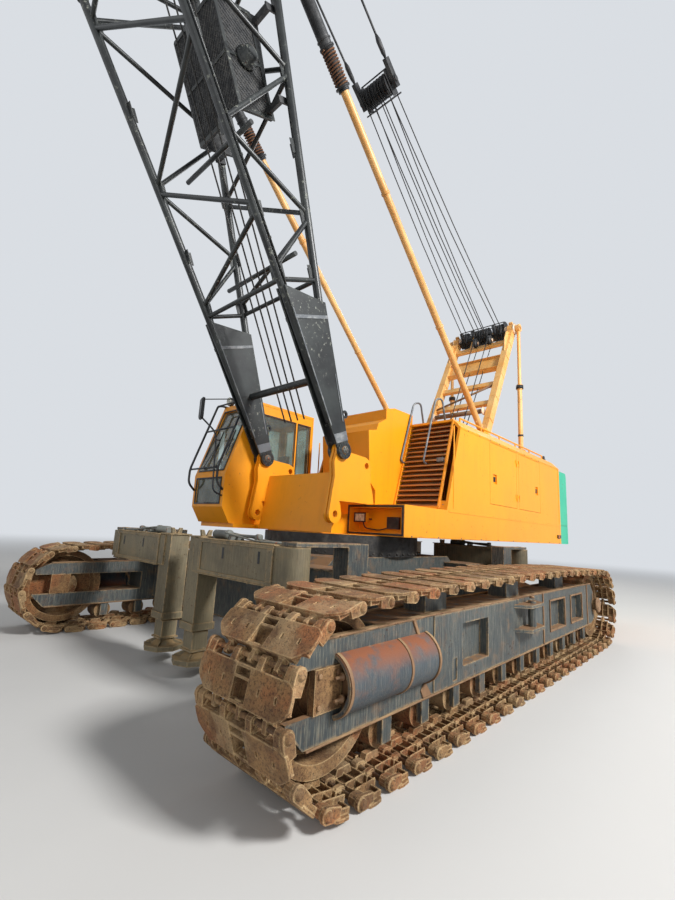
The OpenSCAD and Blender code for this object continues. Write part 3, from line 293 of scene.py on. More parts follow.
class Finish:
    """A node material, put together step by step. Its patterns are in metres in the crane's frame."""

    def __init__(self, name):
        self.material = bpy.data.materials.new(name)
        self.material.use_nodes = True
        self.tree = self.material.node_tree
        self.shader = self.tree.nodes["Principled BSDF"]
        self.coordinates = self.node("ShaderNodeTexCoord").outputs["Object"]
        self.facing = self.node("ShaderNodeNewGeometry").outputs["Normal"]

    def node(self, kind, sockets=None, **settings):
        made = self.tree.nodes.new(kind)
        for name, value in settings.items():
            setattr(made, name, value)
        for name, value in (sockets or {}).items():
            self.give(made.inputs[name], value)
        return made

    def give(self, socket, value):
        if isinstance(value, bpy.types.NodeSocket):
            self.tree.links.new(value, socket)
        else:
            socket.default_value = value

    def math(self, operation, first, second):
        return self.node("ShaderNodeMath", {0: first, 1: second}, operation=operation, use_clamp=True).outputs[0]

    def times(self, first, second):
        return self.math("MULTIPLY", first, second)

    def plus(self, first, second):
        return self.math("ADD", first, second)

    def minus(self, first, second):
        return self.math("SUBTRACT", first, second)

    def most(self, first, second):
        return self.math("MAXIMUM", first, second)

    def ramp(self, value, low, high):
        """0 below low, 1 above high, and smooth between them."""
        return self.node("ShaderNodeMapRange", {"Value": value, "From Min": low, "From Max": high},
                         interpolation_type="SMOOTHSTEP").outputs["Result"]

    def noise(self, scale, low=0.4, high=0.6, stretch=(1, 1, 1), detail=5.0, rough=0.6, share=None):
        """Patches of about 1 / scale metres: 0 below low, 1 above high, all of it times share."""
        placed = self.node("ShaderNodeMapping", {"Vector": self.coordinates, "Scale": stretch})
        grain = self.node("ShaderNodeTexNoise", {"Vector": placed.outputs[0], "Scale": scale,
                                                 "Detail": detail, "Roughness": rough})
        patches = self.ramp(grain.outputs["Fac"], low, high)
        return patches if share is None else self.times(patches, share)

    def mix(self, share, under, over):
        blend = self.node("ShaderNodeMix", data_type="RGBA")
        self.give(blend.inputs["Factor"], share)
        self.give(blend.inputs[6], under)
        self.give(blend.inputs[7], over)
        return blend.outputs[2]

    def upward(self, low=0.5, high=0.95):
        """1 where the surface faces up."""
        axes = self.node("ShaderNodeSeparateXYZ", {0: self.facing})
        return self.ramp(axes.outputs["Z"], low, high)

    def edges(self, radius):
        """1 along the surface's sharp edges."""
        softened = self.node("ShaderNodeBevel", {"Radius": radius}, samples=4)
        likeness = self.node("ShaderNodeVectorMath", {0: softened.outputs[0], 1: self.facing},
                             operation="DOT_PRODUCT").outputs["Value"]
        return self.ramp(self.minus(1.0, likeness), 0.015, 0.12)

    def done(self, colour, rough, height=None, bump=0.3, metallic=None):
        self.give(self.shader.inputs["Base Color"], colour)
        self.give(self.shader.inputs["Roughness"], rough)
        if metallic is not None:
            self.give(self.shader.inputs["Metallic"], metallic)
        if height is not None:
            raised = self.node("ShaderNodeBump", {"Height": height, "Strength": bump, "Distance": 0.01})
            self.give(self.shader.inputs["Normal"], raised.outputs[0])
        return self.material


RUST_DARK = rgb("422618")
RUST_RED = rgb("964e2a")
EARTH = rgb("ac926c")
GRIME = rgb("221c18")
BARE_STEEL = rgb("767068")


def worn_paint(name, colour, faded, bare, chips=0.5, streaks=0.5, dust=0.5, gloss=0.42, edge=0.012, spread=1.0):
    """Paint with sun-faded patches, rain streaks, chips down to bare metal on the edges, and dust on top."""
    finish = Finish(name)
    shade = finish.mix(finish.noise(0.7 * spread, 0.35, 0.7), colour, faded)
    shade = finish.mix(finish.noise(9, 0.45, 0.75, share=0.35), shade, faded)
    runs = finish.noise(2.2, 0.52, 0.78, stretch=(3, 3, 0.35), detail=6)
    shade = finish.mix(finish.times(runs, streaks), shade, GRIME)
    spots = finish.noise(16, 0.66 - 0.12 * chips, 0.72 - 0.1 * chips, detail=8, rough=0.7)
    rims = finish.times(finish.edges(edge), finish.noise(11, 0.62 - 0.25 * chips, 0.68))
    lost = finish.most(finish.times(spots, finish.noise(1.3, 0.45, 0.6)), rims)
    shade = finish.mix(lost, shade, bare)
    laid = finish.times(finish.upward(), finish.noise(3.1, 0.25, 0.75))
    laid = finish.times(laid, dust)
    shade = finish.mix(laid, shade, EARTH)
    dull = finish.most(lost, laid)
    rough = finish.plus(finish.times(dull, 0.4), gloss)
    height = finish.minus(finish.noise(2.4, 0.2, 0.8, detail=1, share=0.6), lost)
    return finish.done(shade, rough, height, 0.25)


def rusty_casting(name, base, light, orange, polish=0.7, dirt=0.5, bump=0.5):
    """Rough cast steel with fine pits, rust in patches, dried earth, and bright edges where it rubs."""
    finish = Finish(name)
    shade = finish.mix(finish.noise(4, 0.35, 0.65), base, light)
    shade = finish.mix(finish.noise(1.9, 0.45, 0.66, share=0.8), shade, orange)
    shade = finish.mix(finish.noise(52, 0.48, 0.62, detail=8, rough=0.75, share=0.75), shade, RUST_DARK)
    caked = finish.noise(2.7, 0.5, 0.62, share=dirt)
    shade = finish.mix(caked, shade, EARTH)
    shade = finish.mix(finish.noise(85, 0.58, 0.66, detail=4, share=0.85), shade, GRIME)
    rubbed = finish.times(finish.times(finish.edges(0.014), finish.noise(12, 0.32, 0.55)), polish)
    shade = finish.mix(rubbed, shade, rgb("d0b282"))
    rough = finish.minus(0.9, finish.times(rubbed, 0.3))
    grain = finish.plus(finish.noise(70, 0.3, 0.7, share=0.6), finish.noise(14, 0.3, 0.7))
    return finish.done(shade, rough, grain, bump)


def scraped_paint(name, colour, worn, scrape, top, low=0.0, high=0.7, streaks=0.5, gloss=0.55):
    """Paint scraped into fine upright streaks, with dust on its edges and rust on what faces up."""
    finish = Finish(name)
    shade = finish.mix(finish.noise(1.2, 0.35, 0.65), colour, worn)
    light = finish.noise(14, 0.45, 0.70, stretch=(6, 6, 0.35), detail=8, rough=0.75)
    shade = finish.mix(finish.times(light, streaks), shade, scrape)
    dark = finish.times(finish.noise(11, 0.46, 0.70, stretch=(8, 8, 0.4), detail=6), finish.noise(2.3, 0.35, 0.7))
    shade = finish.mix(finish.times(dark, streaks), shade, GRIME)
    blotch = finish.noise(5, 0.5, 0.72, detail=9, rough=0.75, share=0.5)
    shade = finish.mix(blotch, shade, top)
    pits = finish.times(finish.noise(30, 0.58, 0.66, detail=8, rough=0.7), finish.noise(1.6, 0.45, 0.6))
    shade = finish.mix(pits, shade, RUST_DARK)
    rims = finish.times(finish.edges(0.03), finish.noise(12, 0.36, 0.58))
    shade = finish.mix(rims, shade, EARTH)
    laid = finish.times(finish.upward(low, high), finish.noise(7, 0.3, 0.55))
    shade = finish.mix(laid, shade, top)
    dull = finish.most(laid, finish.most(rims, pits))
    rough = finish.plus(finish.times(dull, 0.35), gloss)
    return finish.done(shade, rough, finish.minus(light, pits), 0.3)


def greasy(name, colour, sheen, rough=0.5):
    """Dark steel with old grease, dust stuck to it, and rubbed patches."""
    finish = Finish(name)
    shade = finish.mix(finish.noise(6, 0.45, 0.7), colour, sheen)
    shade = finish.mix(finish.times(finish.upward(), finish.noise(5, 0.4, 0.8)), shade, rgb("605444"))
    return finish.done(shade, finish.plus(finish.noise(9, 0.4, 0.7, share=0.25), rough), finish.noise(30, 0.3, 0.7),
                       0.2)


def wire_rope(name, pitch=26.0):
    """Laid steel wire: fine slanting strands with dry grease."""
    finish = Finish(name)
    wave = finish.node("ShaderNodeTexWave", {"Vector": finish.coordinates, "Scale": pitch, "Distortion": 0.4},
                       bands_direction="DIAGONAL")
    shade = finish.mix(wave.outputs["Fac"], rgb("141416"), rgb("4a4844"))
    return finish.done(shade, finish.ramp(finish.noise(4, 0.3, 0.7), -0.8, 2.0), wave.outputs["Fac"], 0.6, 0.4)


def tinted_glass(name):
    """Cab glass with a green tint and dust in patches."""
    finish = Finish(name)
    dusty = finish.noise(1.4, 0.4, 0.75)
    finish.give(finish.shader.inputs["Transmission Weight"], 0.88)
    finish.give(finish.shader.inputs["IOR"], 1.45)
    return finish.done(finish.mix(dusty, rgb("c4d6d0"), rgb("969e92")), finish.ramp(dusty, -0.3, 6.0))


def woven_mesh(name):
    """The scuffed dark wire of the winch's guard."""
    finish = Finish(name)
    return finish.done(finish.mix(finish.noise(8), rgb("181a1c"), rgb("565450")), 0.6, finish.noise(30), 0.2)


def vinyl(name, colour, worn):
    """Black seat vinyl with a fine leather grain and shiny rubbed patches."""
    finish = Finish(name)
    cells = finish.node("ShaderNodeTexVoronoi", {"Vector": finish.coordinates, "Scale": 220.0})
    return finish.done(finish.mix(finish.noise(4, 0.5, 0.8), colour, worn),
                       finish.ramp(finish.noise(3, 0.3, 0.7), -1.2, 2.2), cells.outputs["Distance"], 0.25)


def lamp_lens(name):
    """A ribbed lens, slightly yellowed."""
    finish = Finish(name)
    ribs = finish.node("ShaderNodeTexWave", {"Vector": finish.coordinates, "Scale": 22.0}, bands_direction="Y")
    return finish.done(finish.mix(finish.noise(20), rgb("d6d4c4"), rgb("b0aa96")), 0.18, ribs.outputs["Fac"], 0.5)


def coloured_lens(name, colour, faded, rough=0.22):
    """Moulded plastic with fine ribs, faded in patches."""
    finish = Finish(name)
    ribs = finish.node("ShaderNodeTexWave", {"Vector": finish.coordinates, "Scale": 30.0}, bands_direction="Z")
    return finish.done(finish.mix(finish.noise(12), colour, faded), rough, ribs.outputs["Fac"], 0.15)


def studio_card(name, colour, far):
    """A pale floor that takes the crane's shadow and fades into the backdrop's colour far from the crane."""
    finish = Finish(name)
    grain = finish.mix(finish.noise(0.5, 0.2, 0.8), colour, tuple(min(1, c * 1.03) for c in colour))
    material = finish.done(grain, 0.85)
    reach = finish.node("ShaderNodeVectorMath", {0: finish.coordinates}, operation="LENGTH").outputs["Value"]
    glow = finish.node("ShaderNodeEmission", {"Color": far})
    blend = finish.node("ShaderNodeMixShader", {0: finish.ramp(reach, 11.0, 42.0), 1: finish.shader.outputs[0],
                                                2: glow.outputs[0]})
    finish.tree.links.new(blend.outputs[0], finish.tree.nodes["Material Output"].inputs["Surface"])
    return material


def make_finishes(colours):
    """Fills FINISHES. The colours come from the panel's settings."""
    body, tail, boom = (tuple(c) + (1.0,) for c in (colours.body, colours.tail, colours.boom))
    FINISHES.update({
        "body_yellow": worn_paint("body_yellow_paint", body, rgb("e89818"), RUST_RED,
                                  chips=0.35, streaks=0.10, dust=0.35),
        "counterweight_teal": worn_paint("teal_paint", tail, rgb("40be96"), RUST_RED,
                                         chips=0.2, streaks=0.12, dust=0.3),
        "frame_slate": scraped_paint("slate_paint", rgb("2c3437"), rgb("42494a"),
                                     rgb("848070"), rgb("866444"), streaks=0.75),
        "cover_paint": scraped_paint("cover_slate", rgb("323d45"), rgb("4a5358"),
                                     rgb("787264"), rgb("885236"), 0.05, 0.85),
        "jack_paint": scraped_paint("olive_paint", rgb("544c3a"), rgb("766c54"),
                                    rgb("9c8e6e"), rgb("8c7450"), streaks=0.36),
        "gantry_cream": worn_paint("faded_orange_paint", rgb("e2a454"), rgb("ecbe7a"), RUST_RED,
                                   chips=0.55, streaks=0.25, dust=0.35, edge=0.014, spread=2.0),
        "boom_black": worn_paint("boom_paint", boom, rgb("2c302f"), rgb("808278"),
                                 chips=0.75, streaks=0.15, dust=0.35, gloss=0.38, edge=0.01, spread=3.0),
        "strip_rust": worn_paint("rubbed_strip", rgb("78583c"), rgb("967654"), RUST_DARK,
                                 chips=0.9, streaks=0.3, dust=0.7, gloss=0.6, edge=0.01, spread=3.0),
        "louvre_lip": worn_paint("louvre_edge", rgb("b0703c"), rgb("d0985c"), RUST_DARK,
                                 chips=0.5, streaks=0.2, dust=0.3),
        "bearing_pale": worn_paint("pale_bearing_paint", rgb("e8ceb0"), rgb("ceb092"), RUST_RED,
                                   chips=0.6, streaks=0.3, dust=0.3, spread=3.0),
        "tube_tan": worn_paint("faded_tube_paint", rgb("ce924a"), rgb("e2b270"), RUST_RED,
                               chips=0.5, streaks=0.25, dust=0.2, edge=0.006, spread=2.0),
        "spring_rust": rusty_casting("spring_rust", rgb("543422"), rgb("744e34"),
                                     rgb("86502c"), dirt=0.2),
        "ram_grey": worn_paint("ram_paint", rgb("545957"), rgb("70726c"), RUST_RED,
                               chips=0.6, streaks=0.4, dust=0.6, gloss=0.5, edge=0.006, spread=4.0),
        "louvre_brown": worn_paint("louvre_paint", rgb("4e2814"), rgb("703e20"), RUST_DARK,
                                   chips=0.6, streaks=0.4, dust=0.4),
        "track_rust": rusty_casting("track_rust", rgb("684c30"), rgb("927048"),
                                    rgb("985c34")),
        "hook_steel": rusty_casting("forged_hook_steel", rgb("464442"), rgb("625e5a"), RUST_RED),
        "engine_grey": greasy("engine_casting", rgb("54585a"), rgb("787a78")),
        "ring_steel": greasy("slewing_ring_grease", rgb("1e1c1a"), rgb("423e38")),
        "greasy_black": greasy("greasy_black_steel", rgb("18191b"), rgb("3a3a3a")),
        "rail_grey": greasy("rail_grey_paint", rgb("5c6064"), rgb("8c8e8e"), 0.4),
        "rope": wire_rope("wire_rope"),
        "cab_glass": tinted_glass("tinted_glass"),
        "seat_vinyl": vinyl("seat_vinyl", rgb("1a1a1c"), rgb("363432")),
        "mesh": woven_mesh("guard_mesh"),
        "lens": lamp_lens("lamp_lens"),
        "lamp_red": coloured_lens("lens_red", rgb("961410"), rgb("600e0c")),
        "lamp_amber": coloured_lens("lens_amber", rgb("d67614"), rgb("a05410")),
        "mirror": coloured_lens("mirror_silver", rgb("ced4d6"), rgb("aab0b2"), 0.08),
        "rubber": vinyl("window_rubber", rgb("101011"), rgb("2c2c2c")),
    })


class CraneColours(bpy.types.PropertyGroup):
    """Paint of the large parts."""
    body: FloatVectorProperty(name="Body", description="Paint of the upper works", subtype="COLOR",
                              default=rgb("f59e0a")[:3], min=0, max=1)
    tail: FloatVectorProperty(name="Counterweight", description="Paint of the counterweight", subtype="COLOR",
                              default=rgb("2ab08c")[:3], min=0, max=1)
    boom: FloatVectorProperty(name="Boom", description="Paint of the lattice boom", subtype="COLOR",
                              default=rgb("111314")[:3], min=0, max=1)


class ShoeSizes(bpy.types.PropertyGroup):
    """Sizes of one track shoe."""
    count: IntProperty(name="Shoes", description="Shoes in one track", default=54, min=40, max=70)
    hinge_depth: FloatProperty(name="Hinge depth", description="Depth of the pins behind the outer face",
                               default=0.052, unit="LENGTH")
    pad: FloatProperty(name="Pad", description="Length of a pad, as a share of the pitch", default=0.70, min=0.5,
                       max=0.9)
    plate: FloatProperty(name="Plate", description="Thickness of the pads", default=0.022, unit="LENGTH")
    rib: FloatProperty(name="Rib", description="Thickness of the ribs behind the pads", default=0.011,
                       unit="LENGTH")
    lug: FloatProperty(name="Lug", description="Width of a hinge lug", default=0.058, unit="LENGTH")


class TrimSizes(bpy.types.PropertyGroup):
    """Sizes of the side frames' trim."""
    frame_width: FloatProperty(name="Frame width", description="Width of a crawler side frame", default=0.46,
                               unit="LENGTH")
    strip: FloatProperty(name="Strip", description="How far edge strips stand out", default=0.014, unit="LENGTH")


class StageSizes(bpy.types.PropertyGroup):
    """Camera and lamps."""
    eye: FloatVectorProperty(name="Eye", description="Place of the camera", default=(5.837, 5.258, 1.75),
                             subtype="TRANSLATION")
    heading: FloatProperty(name="Heading", description="Direction of view, from +X", default=3.893, subtype="ANGLE")
    tilt: FloatProperty(name="Tilt", description="View above the horizon", default=0.179, subtype="ANGLE")
    roll: FloatProperty(name="Roll", description="Lean of the camera", default=0.054, subtype="ANGLE")
    lens: FloatProperty(name="Lens", description="Focal length in mm", default=17.55)
    lamp: FloatProperty(name="Lamp", description="Strength of the key lamp in watts", default=5200.0)


# Name, place, size in metres, and strength as a share of the panel's lamp
LAMPS = (("key", (-1, 17, 13), 4, 0.92), ("fill", (15, -3, 9), 12, 0.05),
         ("back", (-16, -6, 15), 12, 0.30), ("low_fill", (14, 14, 5.5), 8, 0.09))


class CRANE_OT_stage(bpy.types.Operator):
    """Floor, backdrop, lamps and camera"""
    bl_idname = "crane.stage"
    bl_label = "Stage"

    def execute(self, context):
        sizes = context.scene.crane_stage
        scene = context.scene
        scene.view_settings.view_transform = "Standard"
        world = bpy.data.worlds.new("studio")
        world.use_nodes = True
        scene.world = world
        tree = world.node_tree
        sky = tree.nodes["Background"]
        sky.inputs["Color"].default_value = BACKDROP
        path = tree.nodes.new("ShaderNodeLightPath")
        seen = path.outputs["Is Camera Ray"]
        for ray in ("Is Glossy Ray", "Is Transmission Ray"):
            either = tree.nodes.new("ShaderNodeMath")
            either.operation = "MAXIMUM"
            tree.links.new(seen, either.inputs[0])
            tree.links.new(path.outputs[ray], either.inputs[1])
            seen = either.outputs[0]
        level = tree.nodes.new("ShaderNodeMapRange")
        level.inputs["To Min"].default_value = 0.33
        tree.links.new(seen, level.inputs["Value"])
        tree.links.new(level.outputs[0], sky.inputs["Strength"])

        floor = bpy.data.meshes.new("floor")
        reach = 900.0
        floor.from_pydata([(-reach, -reach, 0), (reach, -reach, 0), (reach, reach, 0), (-reach, reach, 0)], [],
                          [(0, 1, 2, 3)])
        floor.materials.append(studio_card("floor_card", FLOOR, BACKDROP))
        linked("floor", floor)

        for name, place, size, share in LAMPS:
            data = bpy.data.lights.new(name, "AREA")
            data.energy = sizes.lamp * share
            data.size = size
            lamp = linked(name, data)
            lamp.location = place
            lamp.rotation_euler = (Vector((0, 0, 3)) - Vector(place)).to_track_quat("-Z", "Y").to_euler()

        data = bpy.data.cameras.new("photo_view")
        data.lens = sizes.lens
        data.sensor_width = 36
        data.clip_start, data.clip_end = 0.05, 3000
        camera = linked("photo_view", data)
        ahead = Vector((math.cos(sizes.tilt) * math.cos(sizes.heading),
                        math.cos(sizes.tilt) * math.sin(sizes.heading), math.sin(sizes.tilt)))
        right = Vector((math.sin(sizes.heading), -math.cos(sizes.heading), 0))
        up = right.cross(ahead)
        across = right * math.cos(sizes.roll) + up * math.sin(sizes.roll)
        above = up * math.cos(sizes.roll) - right * math.sin(sizes.roll)
        camera.matrix_world = Matrix.Translation(sizes.eye) @ Matrix((across, above, -ahead)).transposed().to_4x4()
        scene.camera = camera
        return {"FINISHED"}


class CRANE_OT_finishes(bpy.types.Operator):
    """Finishes of every carried-over solid, by its material slot"""
    bl_idname = "crane.finishes"
    bl_label = "Finishes"

    def execute(self, context):
        make_finishes(context.scene.crane_colours)
        slots = {part["node"]: part["material_slot"] for part in frame["record"]["subparts"]}
        slots.update(takeup_covers="cover_paint", backstop_tubes="tube_tan")
        for name, node in frame["nodes"].items():
            node.data.materials.clear()
            node.data.materials.append(FINISHES[slots[name]])
        return {"FINISHED"}


def shoe_form(sizes, width, pitch, depth):
    """One track shoe: X runs along the track, Y across it, Z inwards from the outer face."""
    shoe = Form()
    end, pad_in, side = sizes.pad * pitch / 2, 0.072, width / 2 - 0.006
    rib, wall, hinge = sizes.rib, 0.078, sizes.hinge_depth
    inner = sizes.plate - 0.004
    lines = [-end, -0.018, 0.016, end]
    for s in SIDES:
        ys = [s * y for y in (pad_in, 0.175, 0.191, 0.335, 0.351, side - 0.075, side)]
        moved = {(0, 5): (-end, s * (side - 0.110)), (0, 6): (-end + 0.045, s * (side - 0.045)),
                 (1, 6): (-0.030, s * (side - 0.006)), (2, 6): (0.030, s * side),
                 (3, 6): (end - 0.030, s * (side - 0.004)), (3, 5): (end, s * (side - 0.045))}
        shoe.pierced(lines, ys, [(1, 1), (1, 3)], 0, sizes.plate, moved)
        for y in (pad_in + rib / 2, 0.262, side - 0.125):
            shoe.box((-end + 0.006, s * (y - rib / 2), inner), (end - 0.006, s * (y + rib / 2), wall))
        for x in (-end + 0.004, -rib / 2, end - 0.004 - rib):
            shoe.box((x, s * pad_in, inner), (x + rib, s * (side - 0.118), wall - 0.010))
        shoe.box((-end + 0.055, s * (side - 0.115), inner), (-end + 0.055 + rib, s * (side - 0.03), 0.056))
        shoe.box((end - 0.046, s * (side - 0.115), inner), (end - 0.046 + rib, s * (side - 0.02), 0.062))
        shoe.box((-end + 0.055, s * (side - 0.045), inner), (end - 0.034, s * (side - 0.045 + rib), 0.056))
        shoe.prism([(-0.09, 0.05), (0.09, 0.05), (0.066, depth), (-0.066, depth)], s * 0.10, s * 0.155)
        shoe.turn([(0.001, 0), (0.036, 0), (0.036, 0.05), (0.024, 0.056)], (0.0, s * 0.205, 0.056), s * Y, 14)
    for x0, x1 in ((-end, -end + 0.020), (0.030, 0.048), (end - 0.020, end)):
        shoe.box((x0, -pad_in - 0.01, 0.002), (x1, pad_in + 0.01, 0.058))
    hook = arc((pitch / 2, hinge), 0.037, -90, 100, 6)
    for towards, top, half, middles in ((1, 0.004, sizes.lug / 2, (-0.395, -0.135, 0.135, 0.395)),
                                        (-1, 0.026, sizes.lug * 0.32, (-0.265, 0.0, 0.265))):
        knuckle = [(end - 0.012, hinge + 0.028), (end - 0.012, top), (end + 0.010, top)]
        knuckle += [point for point in hook if point[1] > top]
        for y in middles:
            shoe.prism([(towards * x, z) for x, z in knuckle], y - half, y + half)
            shoe.prism([(towards * x, z) for x, z in ((end - 0.03, 0.012), (end - 0.002, 0.012),
                                                      (pitch / 2 - 0.01, 0.072), (end - 0.03, 0.072))],
                       y - half - 0.012, y + half + 0.012)
    for s in SIDES:
        ear = [(end - 0.07, hinge + 0.030), (end - 0.07, 0.010), (end, 0.004)] + arc((pitch / 2, hinge), 0.046,
                                                                                     -100, 100, 8)
        shoe.prism(ear, s * (side - 0.044), s * (side - 0.014))
    shoe.bevelled(0.003)
    head = [(0.019, side - 0.02), (0.033, side - 0.018), (0.033, side - 0.008), (0.024, side - 0.007),
            (0.022, side + 0.002), (0.012, side + 0.004)]
    shoe.turn([(r, -y) for r, y in reversed(head)] + head, (pitch / 2, 0, hinge), Y, 14)
    return shoe


class CRANE_OT_tracks(bpy.types.Operator):
    """Cast track shoes, pinned one to the next round both tracks"""
    bl_idname = "crane.tracks"
    bl_label = "Track shoes"

    def execute(self, context):
        sizes = context.scene.crane_shoes
        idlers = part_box("idlers")
        for name in ("track_left", "track_right"):
            low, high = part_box(name)
            loop_r = (high.x - low.x) / 2 - (idlers[1].x - (idlers[1].z - idlers[0].z) / 2)
            axle = high.x - loop_r
            crown = high.z - low.z - 2 * loop_r
            pin_r = loop_r - sizes.hinge_depth
            straight, bend = 2 * axle, math.pi * pin_r
            total = 2 * (straight + bend)
            middle = (low.y + high.y) / 2
            hub = loop_r / 2

            def pin(run):
                """Place of a pin on the loop, as X and Z."""
                run %= total
                if run < straight:
                    return Vector((run - axle, sizes.hinge_depth))
                if run < straight + bend:
                    a = (run - straight) / pin_r
                    return Vector((axle + pin_r * math.sin(a), loop_r - pin_r * math.cos(a)))
                if run < 2 * straight + bend:
                    x = axle - (run - straight - bend)
                    return Vector((x, loop_r + pin_r + crown * (1 - (x / axle) ** 2)))
                a = (run - 2 * straight - bend) / pin_r
                return Vector((-axle - pin_r * math.sin(a), loop_r + pin_r * math.cos(a)))

            pitch = total / sizes.count
            shoe = shoe_form(sizes, high.y - low.y, pitch, 0.108)
            places = []
            shift = random.Random(7)
            for i in range(sizes.count):
                start, stop = pin(i * pitch), pin((i + 1) * pitch)
                along = (stop - start).normalized()
                centre = (start + stop) / 2 + Vector((along.y, -along.x)) * sizes.hinge_depth
                lean = shift.uniform(-0.004, 0.004) if centre.y > hub else 0.0
                places.append(Matrix(((along.x, 0, -along.y, centre.x), (0, 1, 0, middle),
                                      (along.y, lean, along.x, centre.y), (0, 0, 0, 1))))
            loop = Form()
            loop.copies(shoe, places)
            loop.piece("shoes_" + name, "root", "track_rust", replaces=[name])
        return {"FINISHED"}


SIDEWAYS = Matrix(((0, 1, 0, 0), (1, 0, 0, 0), (0, 0, 1, 0), (0, 0, 0, 1)))


def on_wall(y):
    """A place for outlines in X and Z: its own X, Y and Z are the crane's X, Z and Y, from y outwards."""
    return Matrix(((1, 0, 0, 0), (0, 0, 1, y), (0, 1, 0, 0), (0, 0, 0, 1)))


def leaning(x, z, run, rise):
    """A place on a wall that leans back by run over rise: X is the crane's Y, Y points out and Z up the wall."""
    return Matrix.Translation((x, 0, z)) @ Matrix.Rotation(-math.atan2(run, rise), 4, "Y") @ SIDEWAYS


class CRANE_OT_undercarriage(bpy.types.Operator):
    """Edge strips, seams, window rims and bolts of the side frames, the carbody and the slewing ring"""
    bl_idname = "crane.undercarriage"
    bl_label = "Undercarriage trim"

    def execute(self, context):
        sizes = context.scene.crane_trim
        low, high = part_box("track_left")
        middle = (low.y + high.y) / 2
        face = middle + sizes.frame_width / 2
        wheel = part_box("idlers")
        axle = wheel[1].x - (wheel[1].z - wheel[0].z) / 2
        hub_z = (wheel[1].z + wheel[0].z) / 2

        strips = Form()
        top = [(-3.29, 1.03), (2.25, 1.03), (3.66, 1.01), (3.66, 1.026), (2.25, 1.046), (-3.29, 1.046)]
        bottom = [(-3.28, 0.356), (3.68, 0.356), (3.68, 0.37), (-3.28, 0.37)]
        for y in (face - 0.045, 2 * middle - face - sizes.strip):
            strips.prism(top, y, y + 0.045 + sizes.strip)
            strips.prism(bottom, y, y + 0.045 + sizes.strip)
        strips.prism([(2.445, 1.03), (2.487, 1.03), (2.24, 0.62), (2.198, 0.62)], face, face + sizes.strip)
        strips.prism([(2.16, 0.372), (2.30, 0.372), (2.34, 0.44), (2.27, 0.50)], face, face + sizes.strip * 0.8)
        for x0, x1 in ((-1.75, -1.08), (-2.70, -2.08)):
            strips.frame(x0 - 0.024, x1 + 0.024, 0.486, 0.924, face, face + sizes.strip, 0.024)
        for x in (-3.05, -0.80):
            strips.box((x, face, 0.372), (x + 0.03, face + sizes.strip, 1.03))
        strips.box((-3.42, face, 0.50), (-3.40, face + 0.01, 0.86))
        strips.mirrored().bevelled(0.003).piece("frame_strips", "root", "frame_slate", "strip_rust")

        doubler = Form(on_wall(face))
        doubler.pierced([0.11, 1.0, 1.58, 1.705, 1.775, 2.13], [0.376, 0.41, 0.51, 0.60, 0.90, 1.028],
                        [(1, 2), (1, 3), (3, 1), (3, 2)], 0, 0.011)
        doubler.mirrored().bevelled(0.002).piece("frame_doublers", "root", "frame_slate")

        fittings = Form()
        for x in (3.425, 3.60):
            for z in (0.605, 0.795):
                fittings.boss((x, face + 0.018, z), Y, 6, (0.019, 0.012), (0.013, 0.016))
        for z in (0.63, 0.77):
            fittings.boss((3.352, face + 0.055, z), X, 8, (0.016, 0.05), (0.028, 0.051), (0.028, 0.075),
                          (0.014, 0.076), (0.010, 0.135))
        fittings.boss((-axle, face + 0.061, hub_z), Y, 32, (0.13, 0.03), (0.10, 0.045))
        fittings.bolts((-axle, face + 0.0615, hub_z), Y, 0.112, 8, 0.012, 0.045)
        drive = 2 * middle - face - 0.25
        fittings.boss((-axle, drive, hub_z), -Y, 32, (0.17, 0.03), (0.11, 0.05))
        fittings.bolts((-axle, drive, hub_z), -Y, 0.235, 16, 0.016, 0.018)
        for x in (axle, -axle):
            for s in SIDES:
                fittings.bolts((x, middle + s * 0.17, hub_z), s * Y, 0.155, 8, 0.014, 0.014)
        fittings.boss((-0.1, face + 0.095, 1.03), Z, 12, (0.03, 0.02), (0.02, 0.03))
        fittings.mirrored().piece("frame_fittings", "root", "track_rust", "strip_rust")

        covers = Form(SIDEWAYS)
        centre = (face - 0.06, (0.37 + 1.03) / 2)
        for x, depth in ((2.262, 0.012), (2.68, 0.008), (3.405, 0.010)):
            band = arc(centre, 0.2145 + depth, -72, 72, 20) + arc(centre, 0.2145, 72, -72, 20)
            covers.prism(band, x, x + 0.03)
        covers.prism([p for p in arc(centre, 0.19, -70, 70, 16)], 3.335, 3.352)
        covers.mirrored().piece("cover_bands", "root", "track_rust", "strip_rust")

        ring = Form()
        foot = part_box("slew_ring")[0].z
        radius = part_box("slew_ring")[1].x
        ring.turn([(radius + 0.001, 0), (radius + 0.075, 0), (radius + 0.075, 0.028), (radius + 0.001, 0.036)],
                  (0, 0, foot), Z, 96)
        ring.bolts((0, 0, foot + 0.03), Z, radius + 0.045, 60, 0.017, 0.03)
        ring.piece("ring_bolts", "root", "ring_steel")

        beams = Form()
        for e in SIDES:
            for x in (e * 1.39, e * 2.01):
                beams.box((x - 0.012, -2.60, 0.418), (x + 0.012, 2.60, 0.43))
            beams.box((e * 1.36, -1.68, 1.27), (e * 2.04, 1.68, 1.284))
            for y in (-1.45, -0.75, 0.75, 1.45):
                beams.prism([(e * 2.01, 0.50), (e * 2.075, 0.50), (e * 2.075, 1.06), (e * 2.01, 1.20)], y - 0.012,
                            y + 0.012)
            for s in SIDES:
                beams.boss((e * 2.88, s * 2.01, 1.128), -Z, 20, (0.075, 0.012), (0.05, 0.02))
        beams.bevelled(0.002).piece("carbody_trim", "root", "frame_slate")

